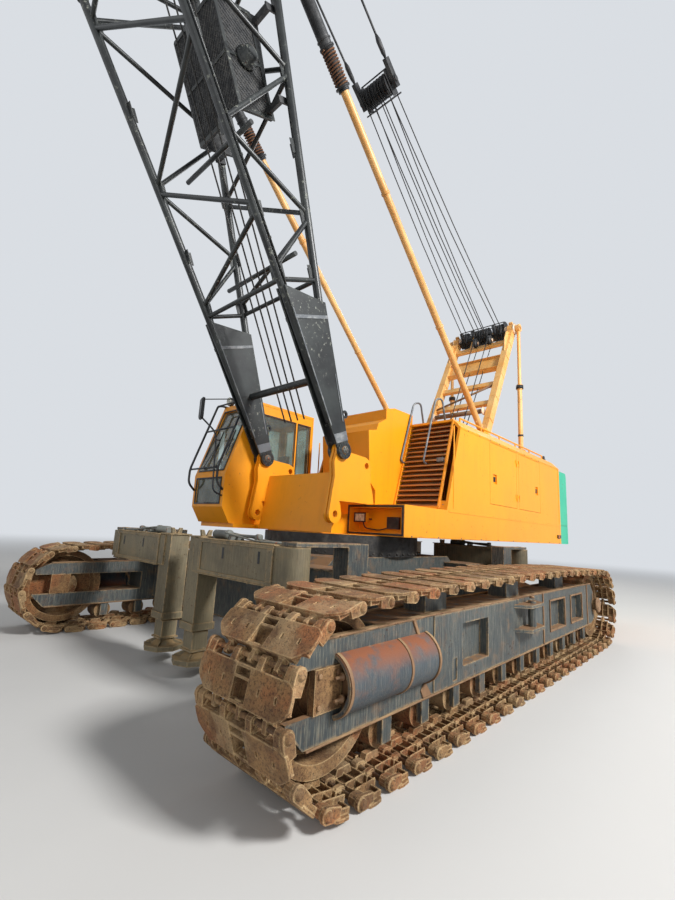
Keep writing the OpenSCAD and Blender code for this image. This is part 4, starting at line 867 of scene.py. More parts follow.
        hoses = Form()
        for k in range(3):
            z = 1.10 + 0.05 * k
            hoses.pipe([(2.105, -1.3 + 0.2 * k, 0.9), (2.105, -1.3 + 0.2 * k, z), (2.105, 1.2 - 0.15 * k, z),
                        (2.105, 1.2 - 0.15 * k, 0.85)], 0.08, 0.013)
        for y in (-1.0, -0.3, 0.4, 1.0):
            hoses.box((2.01, y, 1.075), (2.13, y + 0.03, 1.225))
        hoses.piece("carbody_hoses", "root", "ring_steel", "rubber")
        return {"FINISHED"}


class CRANE_OT_jacks(bpy.types.Operator):
    """Border strips, slots, caps and cylinders of the four jack arms, and the ribs of their floats"""
    bl_idname = "crane.jacks"
    bl_label = "Jack trim"

    def execute(self, context):
        hinge = joint_at("jack_fl_swing")
        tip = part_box("jack_arm_fl")[0].y + 0.13
        top, under = hinge.z + 0.38, hinge.z
        x0, x1 = hinge.x - 0.15, hinge.x + 0.15
        end = hinge.y - 0.14

        beam = Form()
        for face, out in ((x1, 0.012), (x0, -0.012)):
            for z in (top - 0.035, under):
                beam.box((face, tip + 0.14, z), (face + out, end, z + 0.035))
            beam.box((face, end - 0.09, under + 0.035), (face + out * 1.6, end, top - 0.035))
            beam.box((face, tip + 0.14, under + 0.035), (face + out, tip + 0.19, top - 0.035))
        beam.box((x0 - 0.02, tip + 0.131, top), (x1 + 0.02, end + 0.02, top + 0.012))
        beam.box((x0 - 0.02, tip + 0.131, under - 0.012), (x1 + 0.02, end + 0.02, under))
        for y in (0.86, 1.30):
            beam.box((hinge.x - 0.03, y, under - 0.05), (hinge.x + 0.03, y + 0.02, under - 0.012))
        beam.box((hinge.x - 0.15, tip - 0.15, top + 0.01), (hinge.x + 0.15, tip + 0.15, top + 0.026))
        for x in (-0.148, 0.136):
            beam.box((hinge.x + x, tip - 0.148, 0.515), (hinge.x + x + 0.012, tip + 0.148, 0.60))
        for s in SIDES:
            beam.box((hinge.x - 0.148, tip + s * 0.136 - 0.006, 0.515),
                     (hinge.x + 0.148, tip + s * 0.136 + 0.006, 0.60))
            beam.prism([(hinge.x + s * 0.035 - 0.03, top + 0.026), (hinge.x + s * 0.035 + 0.03, top + 0.026),
                        (hinge.x + s * 0.06 + 0.02, top + 0.10), (hinge.x + s * 0.06 - 0.02, top + 0.10)],
                       tip - 0.02, tip + 0.02)
        beam.bevelled(0.003)
        for z in (top + 0.05, under - 0.072):
            beam.turn([(0.0451, 0), (0.075, 0), (0.075, 0.022), (0.0451, 0.022)], (hinge.x, hinge.y, z), Z, 20)

        slots = Form()
        for y in (0.98, 1.62):
            slots.box((x1 - 0.002, y, under + 0.19), (x1 + 0.002, y + 0.035, under + 0.31))
        for x, y in ((-0.06, 1.05), (0.05, 1.52)):
            slots.boss((hinge.x + x, y, top + 0.012), Z, 6, (0.016, 0.012), (0.011, 0.016))

        ram = Form()
        z = top + 0.064
        ram.turn([(0.03, 0), (0.05, 0.002), (0.05, 0.25), (0.056, 0.252), (0.056, 0.29), (0.03, 0.295),
                  (0.018, 0.296), (0.018, 0.80), (0.032, 0.802), (0.032, 0.86), (0.018, 0.862)],
                 (hinge.x, tip + 0.22, z), Y, 20)
        for y in (tip + 0.21, tip + 1.02):
            ram.box((hinge.x - 0.035, y, top + 0.012), (hinge.x + 0.035, y + 0.05, z + 0.02))
        for k, x in enumerate((-0.10, -0.075, 0.085)):
            ram.pipe([(hinge.x + x * 0.5, tip + 0.27 + 0.1 * k, z + 0.03),
                      (hinge.x + x, tip + 0.36 + 0.1 * k, z + 0.02), (hinge.x + x, tip + 1.1, top + 0.026),
                      (hinge.x + x * 0.6, end + 0.01, top + 0.026)], 0.06, 0.010)
        ram.box((hinge.x - 0.09, tip + 0.62, top + 0.012), (hinge.x + 0.09, tip + 0.66, top + 0.05))

        foot = Form()
        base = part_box("jack_foot_fl")[0].z
        foot.box((hinge.x - 0.10, tip - 0.10, base + 0.13), (hinge.x + 0.10, tip + 0.10, 0.50))
        foot.box((hinge.x - 0.12, tip - 0.12, base + 0.129), (hinge.x + 0.12, tip + 0.12, base + 0.15))
        for k in range(4):
            rib = Form(Matrix.Translation((hinge.x, tip, 0)) @ Matrix.Rotation(math.radians(45 + 90 * k), 4, "Z"))
            rib.prism([(0.08, base + 0.06), (0.225, base + 0.06), (0.225, base + 0.075), (0.10, base + 0.13)],
                      -0.008, 0.008)
            foot.copies(rib)
        foot.bevelled(0.003)
        for e, end_tag in ((LEFT, "f"), (RIGHT, "r")):
            for s, side_tag in ((LEFT, "l"), (RIGHT, "r")):
                tag = end_tag + side_tag
                for form, name, body, finish in ((beam, "jack_trim_", "jack_", None),
                                                 (slots, "jack_slots_", "jack_", "greasy_black"),
                                                 (ram, "jack_ram_", "jack_", "ram_grey"),
                                                 (foot, "float_ribs_", "foot_", None)):
                    part = Form()
                    part.copies(form, [Matrix.Diagonal((e, s, 1, 1))])
                    part.piece(name + tag, body + tag, "jack_paint", finish)
        return {"FINISHED"}


class CRANE_OT_house(bpy.types.Operator):
    """Louvre frames, grab rails, lamps, latches, seams and lifting eyes of the deck and the house"""
    bl_idname = "crane.house"
    bl_label = "House trim"

    def execute(self, context):
        side, roof = 1.65, 3.85
        foot, run, rise = (-0.74, 2.16), 0.47, 1.51  # the leaning front walls

        def wall_x(z):
            return foot[0] - run * (z - foot[1]) / rise

        borders = Form(leaning(*foot, run, rise))
        borders.frame(0.563, 1.497, 0.025, 1.745, 0, 0.022, 0.034)
        borders.box((1.50, 0, 0.03), (1.512, 0.012, 1.60))
        borders.bevelled(0.003)
        skirt = Form()
        skirt.box((-6.79, side, 2.130), (-0.80, side + 0.007, 2.158))
        skirt.box((-6.79, side, 1.700), (0.45, side + 0.006, 1.716))
        for x in (-6.74, -0.98):
            skirt.box((x, side, 2.20), (x + 0.03, side + 0.006, 3.64))
        skirt.box((-6.74, side, 3.635), (-1.22, side + 0.006, 3.66))
        skirt.prism([(-1.36, 3.86), (-6.75, 3.86), (-6.75, roof), (-1.36, roof)], 1.40, 1.455)
        for x in (-1.9, -2.9, -4.6, -5.3, -6.35):
            skirt.box((x, 0.70, roof), (x + 0.012, 1.38, roof + 0.012))
        borders.copies(skirt)
        borders.mirrored().piece("house_trim", "upper", "body_yellow")

        lips = Form()
        for i in range(17):
            z = 2.22 + i * 1.57 / 17
            x = wall_x(z)
            lips.prism([(x - 0.010, z + 0.005), (x - 0.002, z + 0.003), (x - 0.002, z + 0.026),
                        (x - 0.012, z + 0.028)], 0.598, 1.457)
        lips.mirrored().piece("louvre_lips", "upper", "louvre_brown", "louvre_lip")

        rails = Form()
        for y, start in ((0.585, 3.05), (1.08, 3.00)):
            x = wall_x(start)
            rails.pipe([(x - 0.02, y, start), (x + 0.10, y, start + 0.03), (x - 0.30, y, 4.30),
                        (x - 0.52, y + 0.02, 4.36), (x - 0.66, y + 0.02, roof + 0.005)], 0.10, 0.019, 12)
            rails.boss((x - 0.66, y + 0.02, roof), Z, 16, (0.045, 0.012))
        rails.box((-1.06, 1.30, 3.03), (-0.985, 1.42, 3.10))
        rails.piece("grab_rails", "upper", "body_yellow", "rail_grey")

        black = Form(SIDEWAYS)
        black.frame(0.572, 1.638, 1.702, 2.148, 0.49, 0.499, 0.030)
        black.frame(0.675, 0.905, 1.885, 2.035, 0.449, 0.464, 0.020)
        for y in (0.72, 0.86):
            black.box((y, 0.26, 1.93), (y + 0.02, 0.37, 1.95))
        black.box((1.20, 0.252, 1.80), (1.42, 0.30, 1.98))
        black.bevelled(0.002)
        wires = Form()
        wires.pipe([(0.37, 0.79, 1.90), (0.34, 0.80, 1.80), (0.30, 1.05, 1.77), (0.29, 1.24, 1.82)], 0.05, 0.009)
        black.copies(wires)
        black.piece("lamp_frame", "upper", "greasy_black")
        lens = Form(SIDEWAYS)
        lens.box((0.694, 0.449, 1.904), (0.886, 0.458, 2.016))
        lens.piece("deck_lamp_lens", "upper", "cab_glass", "lens")

        small = Form()
        for s in SIDES:
            small.box((-6.70, s * side, 1.83), (-6.48, s * (side + 0.03), 1.91))
            small.prism([(-6.30, roof), (-6.18, roof), (-6.20, 3.97), (-6.28, 3.97)], s * 1.02 - 0.01,
                        s * 1.02 + 0.01)
            small.box((-3.89, s * 1.30, roof), (-3.70, s * 1.36, 3.90))
        small.box((-1.30, 0.20, 4.05), (-0.80, 0.42, 4.062))
        small.bevelled(0.003)
        small.boss((-6.45, 1.38, roof), Z, 16, (0.05, 0.05), (0.035, 0.055), (0.035, 0.12), (0.02, 0.14))
        small.boss((-5.2, -1.0, roof), Z, 20, (0.06, 0.02), (0.05, 0.03))
        small.piece("house_fittings", "upper", "greasy_black")
        caps = Form()
        pin = joint_at("boom_luff")
        for y, out in ((1.020, 1), (0.780, -1)):
            caps.boss((pin.x, y, pin.z), out * Y, 24, (0.058, 0.008), (0.030, 0.010), (0.026, 0.004))
            caps.bolts((pin.x, y + out * 0.008, pin.z), out * Y, 0.043, 6, 0.009, 0.010)
        caps.mirrored().piece("pin_caps", "upper", "greasy_black", "ram_grey")
        for name, x in (("red", -6.69), ("amber", -6.58)):
            glow = Form()
            for s in SIDES:
                glow.box((x, s * (side + 0.03), 1.84), (x + 0.09, s * (side + 0.036), 1.90))
            glow.piece("tail_lamp_" + name, "upper", "cab_glass", "lamp_" + name)

        bolts = Form()
        for x1, z, count in ((-1.5, 3.648, 12), (0.3, 1.708, 10)):
            for k in range(count):
                x = between(-6.6, x1, k / (count - 1))
                bolts.boss((x, side + 0.006, z), Y, 6, (0.012, 0.006), (0.008, 0.009))
        bolts.boss((-0.735, 1.58, 2.25), X, 6, (0.010, 0.006))
        bolts.mirrored().piece("house_bolts", "upper", "body_yellow", "ram_grey")

        for number, x in (("1", -2.66), ("2", -5.04)):
            for s, tag in ((LEFT, "l"), (RIGHT, "r")):
                latch = Form()
                latch.box((x - 0.06, s * (side - 0.03), 2.85), (x + 0.06, s * (side - 0.018), 2.95))
                latch.box((x - 0.012, s * (side - 0.018), 2.87), (x + 0.012, s * (side - 0.004), 2.94))
                latch.box((x - 0.04, s * (side - 0.018), 2.915), (x + 0.04, s * (side - 0.006), 2.935))
                latch.bevelled(0.002)
                door = "house_door_" + tag + number
                latch.piece("latch_" + tag + number, door, "body_yellow", "greasy_black")
        return {"FINISHED"}


class CRANE_OT_cab(bpy.types.Operator):
    """Window rubbers, wipers, mirror, guard frame, latch and the driver's place"""
    bl_idname = "crane.cab"
    bl_label = "Cab trim"

    def execute(self, context):
        inner, outer = -1.035, -1.985  # the cab's side walls
        front = leaning(1.80, 2.56, 0.47, 1.39)
        rubber = Form(front)
        rubber.frame(-1.912, -1.108, 0.068, 1.348, 0, 0.012, 0.024)
        straight = Form(SIDEWAYS)
        straight.frame(-1.912, -1.108, 2.062, 2.518, 1.80, 1.812, 0.024)
        straight.frame(-1.852, -1.168, 2.704, 3.746, -0.162, -0.15, 0.022)
        rubber.copies(straight)
        sides = Form()
        for y, out in ((inner, 0.006), (outer, -0.010)):
            sides.frame(-0.076, 0.276, 2.704, 3.746, y, y + out, 0.018)
        sides.frame(0.314, 1.196, 2.704, 3.746, inner, inner + 0.006, 0.018)
        sides.frame(1.244, 1.406, 2.704, 3.486, outer, outer - 0.010, 0.018)
        rubber.copies(sides)
        rubber.piece("cab_rubbers", "upper", "cab_glass", "rubber")

        wipers = Form(front)
        for foot, tip in ((-1.74, 0.14), (-1.36, 0.14)):
            wipers.boss((foot, 0.012, tip), Y, 14, (0.026, 0.03), (0.012, 0.035))
            wipers.tube([(foot, 0.04, tip), (foot + 0.14, 0.030, tip + 0.46)], 0.006, 6)
            wipers.box((foot + 0.132, 0.012, tip + 0.22), (foot + 0.144, 0.03, tip + 0.72))
        wipers.piece("cab_wipers", "upper", "greasy_black", "rubber")

        guard = Form()
        for y in (-1.06, -1.96):
            guard.pipe([(1.80, y, 2.30), (1.93, y, 2.42), (1.93, y, 2.66), (1.50, y, 3.93), (1.42, y, 3.955),
                        (1.22, y, 3.957)], 0.08, 0.020, 10)
        for x, z in ((1.93, 2.66), (1.685, 3.39), (1.50, 3.93)):
            guard.tube([(x, -1.06, z), (x, -1.96, z)], 0.016, 10)
        guard.pipe([(1.80, -1.07, 2.20), (1.98, -1.07, 2.26), (2.02, -1.07, 3.22), (2.235, -1.21, 3.45)], 0.12,
                   0.014)
        guard.tube([(1.93, -1.07, 3.10), (2.02, -1.07, 3.10)], 0.012, 8)
        guard.tube([(1.50, -1.06, 3.93), (2.235, -1.21, 3.76)], 0.009, 8)
        guard.pipe([(0.10, outer, 2.05), (0.10, -2.06, 2.05), (0.10, -2.06, 3.30), (0.10, outer, 3.30)], 0.05,
                   0.016, 10)
        guard.piece("cab_guard", "upper", "greasy_black")

        def rounded_plate(wide, tall, radius):
            corners = ((1, 1, 0), (-1, 1, 90), (-1, -1, 180), (1, -1, 270))
            return [p for i, j, a in corners for p in arc((i * (wide / 2 - radius), j * (tall / 2 - radius)),
                                                          radius, a, a + 90, 5)]

        facing = Matrix.Translation((2.24, -1.21, 3.60)) @ Matrix.Rotation(math.radians(-16), 4, "Z") @ SIDEWAYS
        mirror = Form(facing)
        mirror.prism(rounded_plate(0.19, 0.37, 0.05), -0.012, 0.022)
        mirror.prism(rounded_plate(0.15, 0.33, 0.04), 0.021, 0.034)
        mirror.bevelled(0.004)
        mirror.piece("cab_mirror", "upper", "greasy_black", "rubber")
        glass = Form(facing)
        glass.prism(rounded_plate(0.17, 0.35, 0.044), -0.014, -0.0115)
        glass.piece("mirror_glass", "upper", "cab_glass", "mirror")

        roof = Form()
        roof.box((0.25, -1.80, 3.95), (0.85, -1.22, 3.985))
        roof.box((0.30, -1.75, 3.985), (0.80, -1.27, 3.997))
        roof.prism([(1.00, 3.95), (1.20, 3.95), (1.20, 3.965), (1.17, 4.03), (1.03, 4.03), (1.00, 3.965)], -1.60,
                   -1.40)
        for y, out in ((-1.99, -0.006), (inner, 0.006)):
            roof.box((-0.15, y, 3.90), (1.32, y + out, 3.915))
        roof.bevelled(0.006)
        roof.piece("cab_roof_trim", "upper", "body_yellow")
        lamp = Form()
        for y in (-1.18, -1.84):
            lamp.turn([(0.03, -0.06), (0.075, -0.04), (0.085, 0.03), (0.08, 0.04)], (1.31, y, 4.05), (1, 0, -0.15),
                      20)
            lamp.box((1.28, y - 0.01, 3.95), (1.32, y + 0.01, 3.99))
        lamp.piece("cab_lamps", "upper", "greasy_black")
        lens = Form()
        for y in (-1.18, -1.84):
            lens.turn([(0.078, 0.040), (0.060, 0.048)], (1.31, y, 4.05), (1, 0, -0.15), 20)
        lens.piece("cab_lamp_lenses", "upper", "cab_glass", "lens")

        middle = -1.51
        seat = Form()
        seat.box((0.28, middle - 0.25, 2.18), (0.80, middle + 0.25, 2.205))
        for s in SIDES:
            seat.box((0.24, middle + s * 0.30 - 0.03, 2.44), (0.66, middle + s * 0.30 + 0.03, 2.49))
            seat.box((0.28, middle + s * 0.30 - 0.012, 2.28), (0.33, middle + s * 0.30 + 0.012, 2.44))
            seat.box((0.31, middle + s * 0.24, 2.27), (0.70, middle + s * 0.265, 2.32))
        seat.box((0.12, middle - 0.13, 2.95), (0.21, middle + 0.13, 3.14))
        seat.box((0.34, middle - 0.19, 2.30), (0.78, middle + 0.19, 2.325))
        seat.bevelled(0.012)
        seat.piece("seat_cushions", "upper", "seat_vinyl")
        levers = Form()
        for k in range(4):
            y = middle - 0.24 + 0.16 * k
            levers.pipe([(1.30, y, 2.66), (1.27, y, 2.84), (1.20, y, 2.92)], 0.06, 0.008)
            levers.turn([(0.012, -0.03), (0.024, -0.015), (0.026, 0.01), (0.014, 0.03)], (1.19, y, 2.935),
                        (-0.5, 0, 1), 12)
        levers.box((1.19, middle - 0.30, 2.66), (1.41, middle + 0.30, 2.675))
        levers.prism([(1.42, 2.66), (1.46, 2.66), (1.46, 2.86), (1.38, 2.88), (1.36, 2.84)], middle - 0.22,
                     middle + 0.22)
        for y in (middle - 0.14, middle, middle + 0.14):
            levers.boss((1.372, y, 2.80), (-0.95, 0, 0.3), 20, (0.05, 0.012), (0.042, 0.014))
        for y in (middle - 0.12, middle + 0.12):
            levers.prism([(1.43, 1.93), (1.58, 2.03), (1.59, 2.02), (1.44, 1.92)], y - 0.05, y + 0.05)
            levers.tube([(1.50, y, 1.98), (1.56, y, 1.82)], 0.010, 8)
        levers.piece("cab_levers", "upper", "greasy_black")

        door = Form()
        door.frame(0.404, 1.106, 2.704, 3.686, outer, outer - 0.010, 0.018)
        door.box((0.37, outer - 0.010, 2.50), (0.41, outer, 2.64))
        door.pipe([(0.39, -1.99, 2.52), (0.39, -2.03, 2.53), (0.39, -2.03, 2.62), (0.39, -1.99, 2.63)], 0.02, 0.008)
        door.piece("cab_door_trim", "cab_door", "greasy_black", "rubber")
        pane = Form()
        pane.box((0.421, -1.967, 2.721), (1.089, -1.960, 3.669))
        pane.piece("cab_door_pane", "cab_door", "cab_glass")
        return {"FINISHED"}


class CRANE_OT_gantry(bpy.types.Operator):
    """Bearings, bands, sheaves and ropes of the gantry, and the collars of its struts"""
    bl_idname = "crane.gantry"
    bl_label = "Gantry trim"

    def execute(self, context):
        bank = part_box("gantry_sheaves")
        top = (bank[0] + bank[1]) / 2
        foot = joint_at("gantry_fold")
        length = math.hypot(top.x - foot.x, top.z - foot.z)
        up = Matrix.Translation(foot) @ Matrix.Rotation(math.atan2(top.x - foot.x, top.z - foot.z), 4, "Y")
        leg, inside = 0.82, 0.744  # middle and inner face of the gantry's legs
        guides, hub = (-0.12, 0.30), length - 0.36  # the two guide sheaves
        mid = 0.62 * length  # the wide crossbar

        plates = Form(up)
        for s in SIDES:
            for x in (-0.108, 0.1):
                plates.box((x, s * leg - 0.083, 0.12), (x + 0.008, s * leg + 0.083, length - 0.12))
            for z in (0.55, 1.30, 2.10, 2.80, 3.30):
                plates.box((-0.112, s * leg - 0.088, z), (0.112, s * leg + 0.088, z + 0.035))
            plates.box((-0.16, s * leg - 0.05, length + 0.10), (0.16, s * leg + 0.05, length + 0.16))
            plates.prism([(0.10, 2.95), (0.26, 3.35), (0.26, 3.60), (0.10, 3.75)], s * leg - 0.012, s * leg + 0.012)
        for share in (0.28, 0.4501266, 0.8602532):
            plates.box((-0.06, -inside, share * length), (-0.045, inside, share * length + 0.13))
        plates.box((-0.09, -inside, mid - 0.02), (0.09, inside, mid))
        plates.box((-0.09, -inside, mid + 0.42), (0.09, inside, mid + 0.435))
        plates.bevelled(0.004)
        for s in SIDES:
            plates.bolts((0.108, s * leg, 0.35), X, 0.05, 4, 0.012, 0.01, math.pi / 4)
            plates.bolts((0.108, s * leg, 3.62), X, 0.05, 4, 0.012, 0.01, math.pi / 4)
        plates.piece("gantry_plates", "gantry", "gantry_cream")

        bearings = Form(up)
        for s in SIDES:
            bearings.boss((0, s * (leg + 0.075), length), s * Y, 28, (0.155, 0.03), (0.10, 0.045), (0.08, 0.06))
            bearings.bolts((0, s * (leg + 0.105), length), s * Y, 0.125, 8, 0.012, 0.012)
            bearings.boss((0, s * (leg - 0.075), length), -s * Y, 28, (0.13, 0.09), (0.10, 0.10))
            bearings.boss((0, s * (leg + 0.075), 0), s * Y, 24, (0.10, 0.012), (0.06, 0.018))
            bearings.boss((0.12, s * (leg - 0.19), 0.80), s * Y, 20, (0.055, 0.05), (0.105, 0.052), (0.105, 0.068),
                          (0.03, 0.069))
        for y in guides:
            bearings.turn([(0.055, -0.066), (0.04, -0.075)], (0.10, y, hub), Y, 16)
            bearings.turn([(0.055, 0.066), (0.04, 0.075)], (0.10, y, hub), Y, 16)
        bearings.piece("gantry_bearings", "gantry", "gantry_cream", "bearing_pale")

        shafts = Form(up)
        shafts.tube([(0.12, -leg + 0.18, 0.80), (0.12, leg - 0.18, 0.80)], 0.06, 16)
        shafts.tube([(0.055, -leg + 0.08, 1.15), (0.055, leg - 0.08, 1.75)], 0.028, 10)
        shafts.box((-0.055, -inside, mid + 0.03), (0.0, 0.30, mid + 0.40))
        shafts.piece("gantry_shafts", "gantry", "gantry_cream", "strip_rust")

        cage = Form(up)
        for y in guides:
            cage.sheave((0.10, y, hub), 0.15, 0.032)
            for s in SIDES:
                cage.prism([(0.06, length - 0.40), (0.14, length - 0.40), (0.07, length - 0.12),
                            (0.02, length - 0.12)], y + s * 0.062 - 0.006, y + s * 0.062 + 0.006)
        for a in (35, 80, 125, 170, 215):
            x, z = 0.275 * math.cos(math.radians(a)), length + 0.275 * math.sin(math.radians(a))
            cage.crossbar(x, z, 0.66, 0.014)
        for y in (-0.66, -0.32, 0.32, 0.66):
            cage.prism([(0.285 * math.cos(math.radians(a)), length + 0.285 * math.sin(math.radians(a)))
                        for a in range(20, 230, 15)] + [(-0.13, length - 0.02), (0.10, length - 0.02)], y - 0.008,
                       y + 0.008)
        cage.box((-0.13, -0.70, length - 0.16), (0.12, 0.70, length - 0.13))
        cage.piece("sheave_cage", "gantry", "greasy_black")

        ropes = Form(up)
        for y in guides:
            for x in (-0.036, 0.236):
                ropes.tube([(x, y, hub), (x * 0.6 + 0.04, y * 0.9, 0.30)], 0.012, 8)
        ropes.piece("gantry_ropes", "gantry", "greasy_black", "rope")

        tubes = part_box("gantry_tubes")
        collars = Form()
        for s in SIDES:
            y = s * 1.01
            collars.hoop([(0.0785, 0), (0.095, 0.002), (0.095, 0.10), (0.0785, 0.102)],
                         (top.x, y, tubes[1].z - 0.125), Z, 24)
            for e in SIDES:
                collars.turn([(0.02, 0.094), (0.02, 0.12), (0.012, 0.125)], (top.x, y, tubes[1].z - 0.07), e * X,
                             10)
            collars.hoop([(0.0605, 0), (0.07, 0.002), (0.07, 0.05), (0.0605, 0.052)], (top.x, y, 4.45), Z, 24)
        collars.piece("strut_collars", "strut_tubes", "gantry_cream", "greasy_black")
        return {"FINISHED"}


class CRANE_OT_backstops(bpy.types.Operator):
    """Coil springs, collars and rod ends of the backstops"""
    bl_idname = "crane.backstops"
    bl_label = "Backstop springs"

    def execute(self, context):
        along = Vector(JOINTS["backstop_slide"]["axis"])
        foot = joint_at("backstop_swing")
        turned = Matrix.Translation(foot) @ Matrix.Rotation(math.atan2(along.x, along.z), 4, "Y")
        y, length = 1.065, 8.664  # the left backstop, from its foot to its eye
        start = length - 1.25 - 0.52
        springs, collars, bands = Form(turned @ Matrix.Translation((0, y, 0))), Form(turned), Form(turned)
        springs.coil(0.100, 0.013, start + 0.01, start + 0.51, 11)
        springs.mirrored().piece("backstop_springs", "stop_sleeves", "greasy_black", "spring_rust")
        for z, r, h in ((start - 0.075, 0.093, 0.03), (start - 0.03, 0.120, 0.028), (start + 0.518, 0.120, 0.028),
                        (start + 0.62, 0.112, 0.02), (length - 0.20, 0.112, 0.05), (length - 0.07, 0.105, 0.02)):
            collars.turn([(0.067, z), (r, z + 0.002), (r, z + h), (0.067, z + h + 0.002)], (0, y, 0), Z, 28)
        collars.turn([(0.035, 0), (0.07, 0.002), (0.07, 0.02), (0.035, 0.022)], (0, y + 0.050, length), Y, 20)
        collars.mirrored().piece("backstop_collars", "stop_sleeves", "greasy_black")
        for z in (0.14, 2.60, 5.20):
            bands.turn([(0.0665, z), (0.078, z + 0.002), (0.078, z + 0.05), (0.0665, z + 0.052)], (0, y, 0), Z, 28)
        bands.boss((0.06, y, 0.35), X, 8, (0.012, 0.03), (0.008, 0.035))
        bands.mirrored().piece("backstop_bands", "stop_tubes", "body_yellow", "tube_tan")
        return {"FINISHED"}


class CRANE_OT_boom(bpy.types.Operator):
    """Foot collars, joint lugs, gussets, the winch's mesh guard and wound drum, guide rollers and head guards"""
    bl_idname = "crane.boom"
    bl_label = "Boom trim"

    def execute(self, context):
        feet, steel = Form(BOOM), Form(BOOM)
        for y, out in ((0.993, 1), (0.807, -1)):
            feet.prism([(0.135, -0.128), (0.275, -0.142), (0.262, 0.137), (0.122, 0.131)], y, y + out * 0.010)
            feet.prism([(1.95, -0.335), (2.00, -0.342), (1.96, 0.325), (1.91, 0.320)], y, y + out * 0.010)
            feet.prism([(0.40, 0.128), (1.10, 0.205), (1.12, 0.190), (0.42, 0.113)], y, y + out * 0.008)
            feet.prism([(0.40, -0.150), (2.10, -0.345), (2.10, -0.328), (0.42, -0.133)], y, y + out * 0.008)
        feet.bevelled(0.002)
        feet.mirrored().piece("foot_collars", "boom", "boom_black", "rail_grey")

        full, taper, head, drop = 6.95, 9.15, 15.24, -0.68  # where the boom is full and tapers, and its head sheaves

        def half_depth(s):
            return s / full if s < full else between(1.0, 0.28, max(0.0, s - taper) / (head - taper))

        def half_width(s):
            return between(0.9, 0.52, max(0.0, s - taper) / (head - taper))

        for s in SIDES:
            steel.bolts((0, s * 0.782, 0), -s * Y, 0.10, 10, 0.012, 0.010)
        steel.bolts((0, 1.018, 0), Y, 0.10, 10, 0.012, 0.009)
        corners = [(face, s) for face in SIDES for s in SIDES]
        for v, s in corners:
            y = s * 0.9
            for k in SIDES:
                steel.prism([(7.40, v - 0.05), (7.46, v - 0.085), (7.78, v - 0.085), (7.84, v - 0.05),
                             (7.84, v + 0.05), (7.78, v + 0.085), (7.46, v + 0.085), (7.40, v + 0.05)],
                            y + k * 0.075 - 0.011, y + k * 0.075 + 0.011)
            for x in (7.54, 7.70):
                steel.turn([(0.036, -0.115), (0.036, 0.115)], (x, y, v), Y, 16)
                steel.turn([(0.012, -0.15), (0.012, 0.13)], (x, y, v), Y, 8)
        for x in (2.62, 3.42, 4.42, 5.48, 6.60, 7.86, 8.75, 9.60, 10.5, 11.4, 12.25, 13.05, 13.8):
            for face, s in corners:
                v, y = face * half_depth(x), s * half_width(x)
                steel.box((x - 0.10, y - s * 0.060, v - face * 0.006), (x + 0.10, y - s * 0.125, v + face * 0.006))
                steel.box((x - 0.10, y - 0.006, v - face * 0.060), (x + 0.10, y + 0.006, v - face * 0.125))
        for s in SIDES:
            for x in (3.0, 4.0, 5.0, 6.0, 7.0):
                v = -half_depth(x)
                steel.box((x, s * 0.966, v - 0.01), (x + 0.03, s * 0.984, v + 0.02))
            steel.tube([(2.4, s * 0.978, -half_depth(2.4)), (full, s * 0.978, -1.0), (7.35, s * 0.978, -1.0)],
                       0.011, 8)
        steel.piece("boom_fittings", "boom", "boom_black")

        winch = Form(BOOM)
        s0, s1, v0, v1 = 5.0, 6.5, 0.06, 0.72
        for s in SIDES:
            y = s * 0.515
            winch.frame(s0, s1, v0, v1, y, y + s * 0.014, 0.05)
            winch.box((5.73, y, v0), (5.77, y + s * 0.012, v1))
        winch.box((s0, -0.50, v0 - 0.012), (s0 + 0.05, 0.50, v0))
        winch.box((s1 - 0.05, -0.50, v0 - 0.012), (s1, 0.50, v0))
        winch.box((5.73, -0.50, v0 - 0.012), (5.77, 0.50, v0))
        for s in SIDES:
            winch.boss((5.75, s * 0.515, 0.40), s * Y, 24, (0.16, 0.05), (0.11, 0.07), (0.11, 0.16), (0.06, 0.18))
            winch.bolts((5.75, s * 0.565, 0.40), s * Y, 0.135, 10, 0.012, 0.014)
        winch.piece("winch_frame", "boom", "greasy_black", "boom_black")

        mesh = Form(BOOM)
        step, length = 0.075, s1 - s0

        def weave(depth, wires_before, corner):
            """Crossed wires over a panel as long as the winch. corner gives a point from (along, share, lean)."""
            for k in range(-wires_before, math.ceil(length / step)):
                a, b = max(k * step, 0.0), min(k * step + depth, length)
                if b - a > 0.03:
                    for lean in SIDES:
                        mesh.tube([corner(t, t - k * step, lean) for t in (a, b)], 0.0035, 4)

        for y in (0.519, -0.519):
            weave(v1 - v0, 9, lambda t, v, lean: (s0 + t, y, (v0 + v) if lean > 0 else (v1 - v)))
        weave(1.0, 13, lambda t, v, lean: (s0 + t, lean * (v - 0.5), v0 - 0.006))
        mesh.piece("winch_mesh", "boom", "greasy_black", "mesh")

        drum = Form(BOOM)
        wraps = [(0.212, -0.412)]
        for k in range(29):
            wraps += [(0.236, -0.405 + 0.028 * k + 0.007), (0.228, -0.405 + 0.028 * k + 0.021)]
        wraps.append((0.212, 0.412))
        drum.turn(wraps, (5.75, 0, 0.40), Y, 32)
        for y, start, stop in ((0.09, (5.80, 0.635), (15.20, -0.35)), (-0.20, (5.64, 0.61), (15.20, -0.35))):
            drum.tube([(start[0], y, start[1]), (8.25, y * 0.9, 0.66), (stop[0], y * 1.15, stop[1])], 0.013, 8)
        for y in (-0.33, -0.11, 0.11, 0.33):
            drum.tube([(0.55, y * 0.7, 0.10), (head, y, drop + 0.31)], 0.013, 8)
            drum.tube([(head + 0.307 * math.sin(math.radians(a)), y, drop + 0.307 * math.cos(math.radians(a)))
                       for a in range(0, 181, 15)], 0.013, 8)
        drum.piece("boom_ropes", "boom", "greasy_black", "rope")

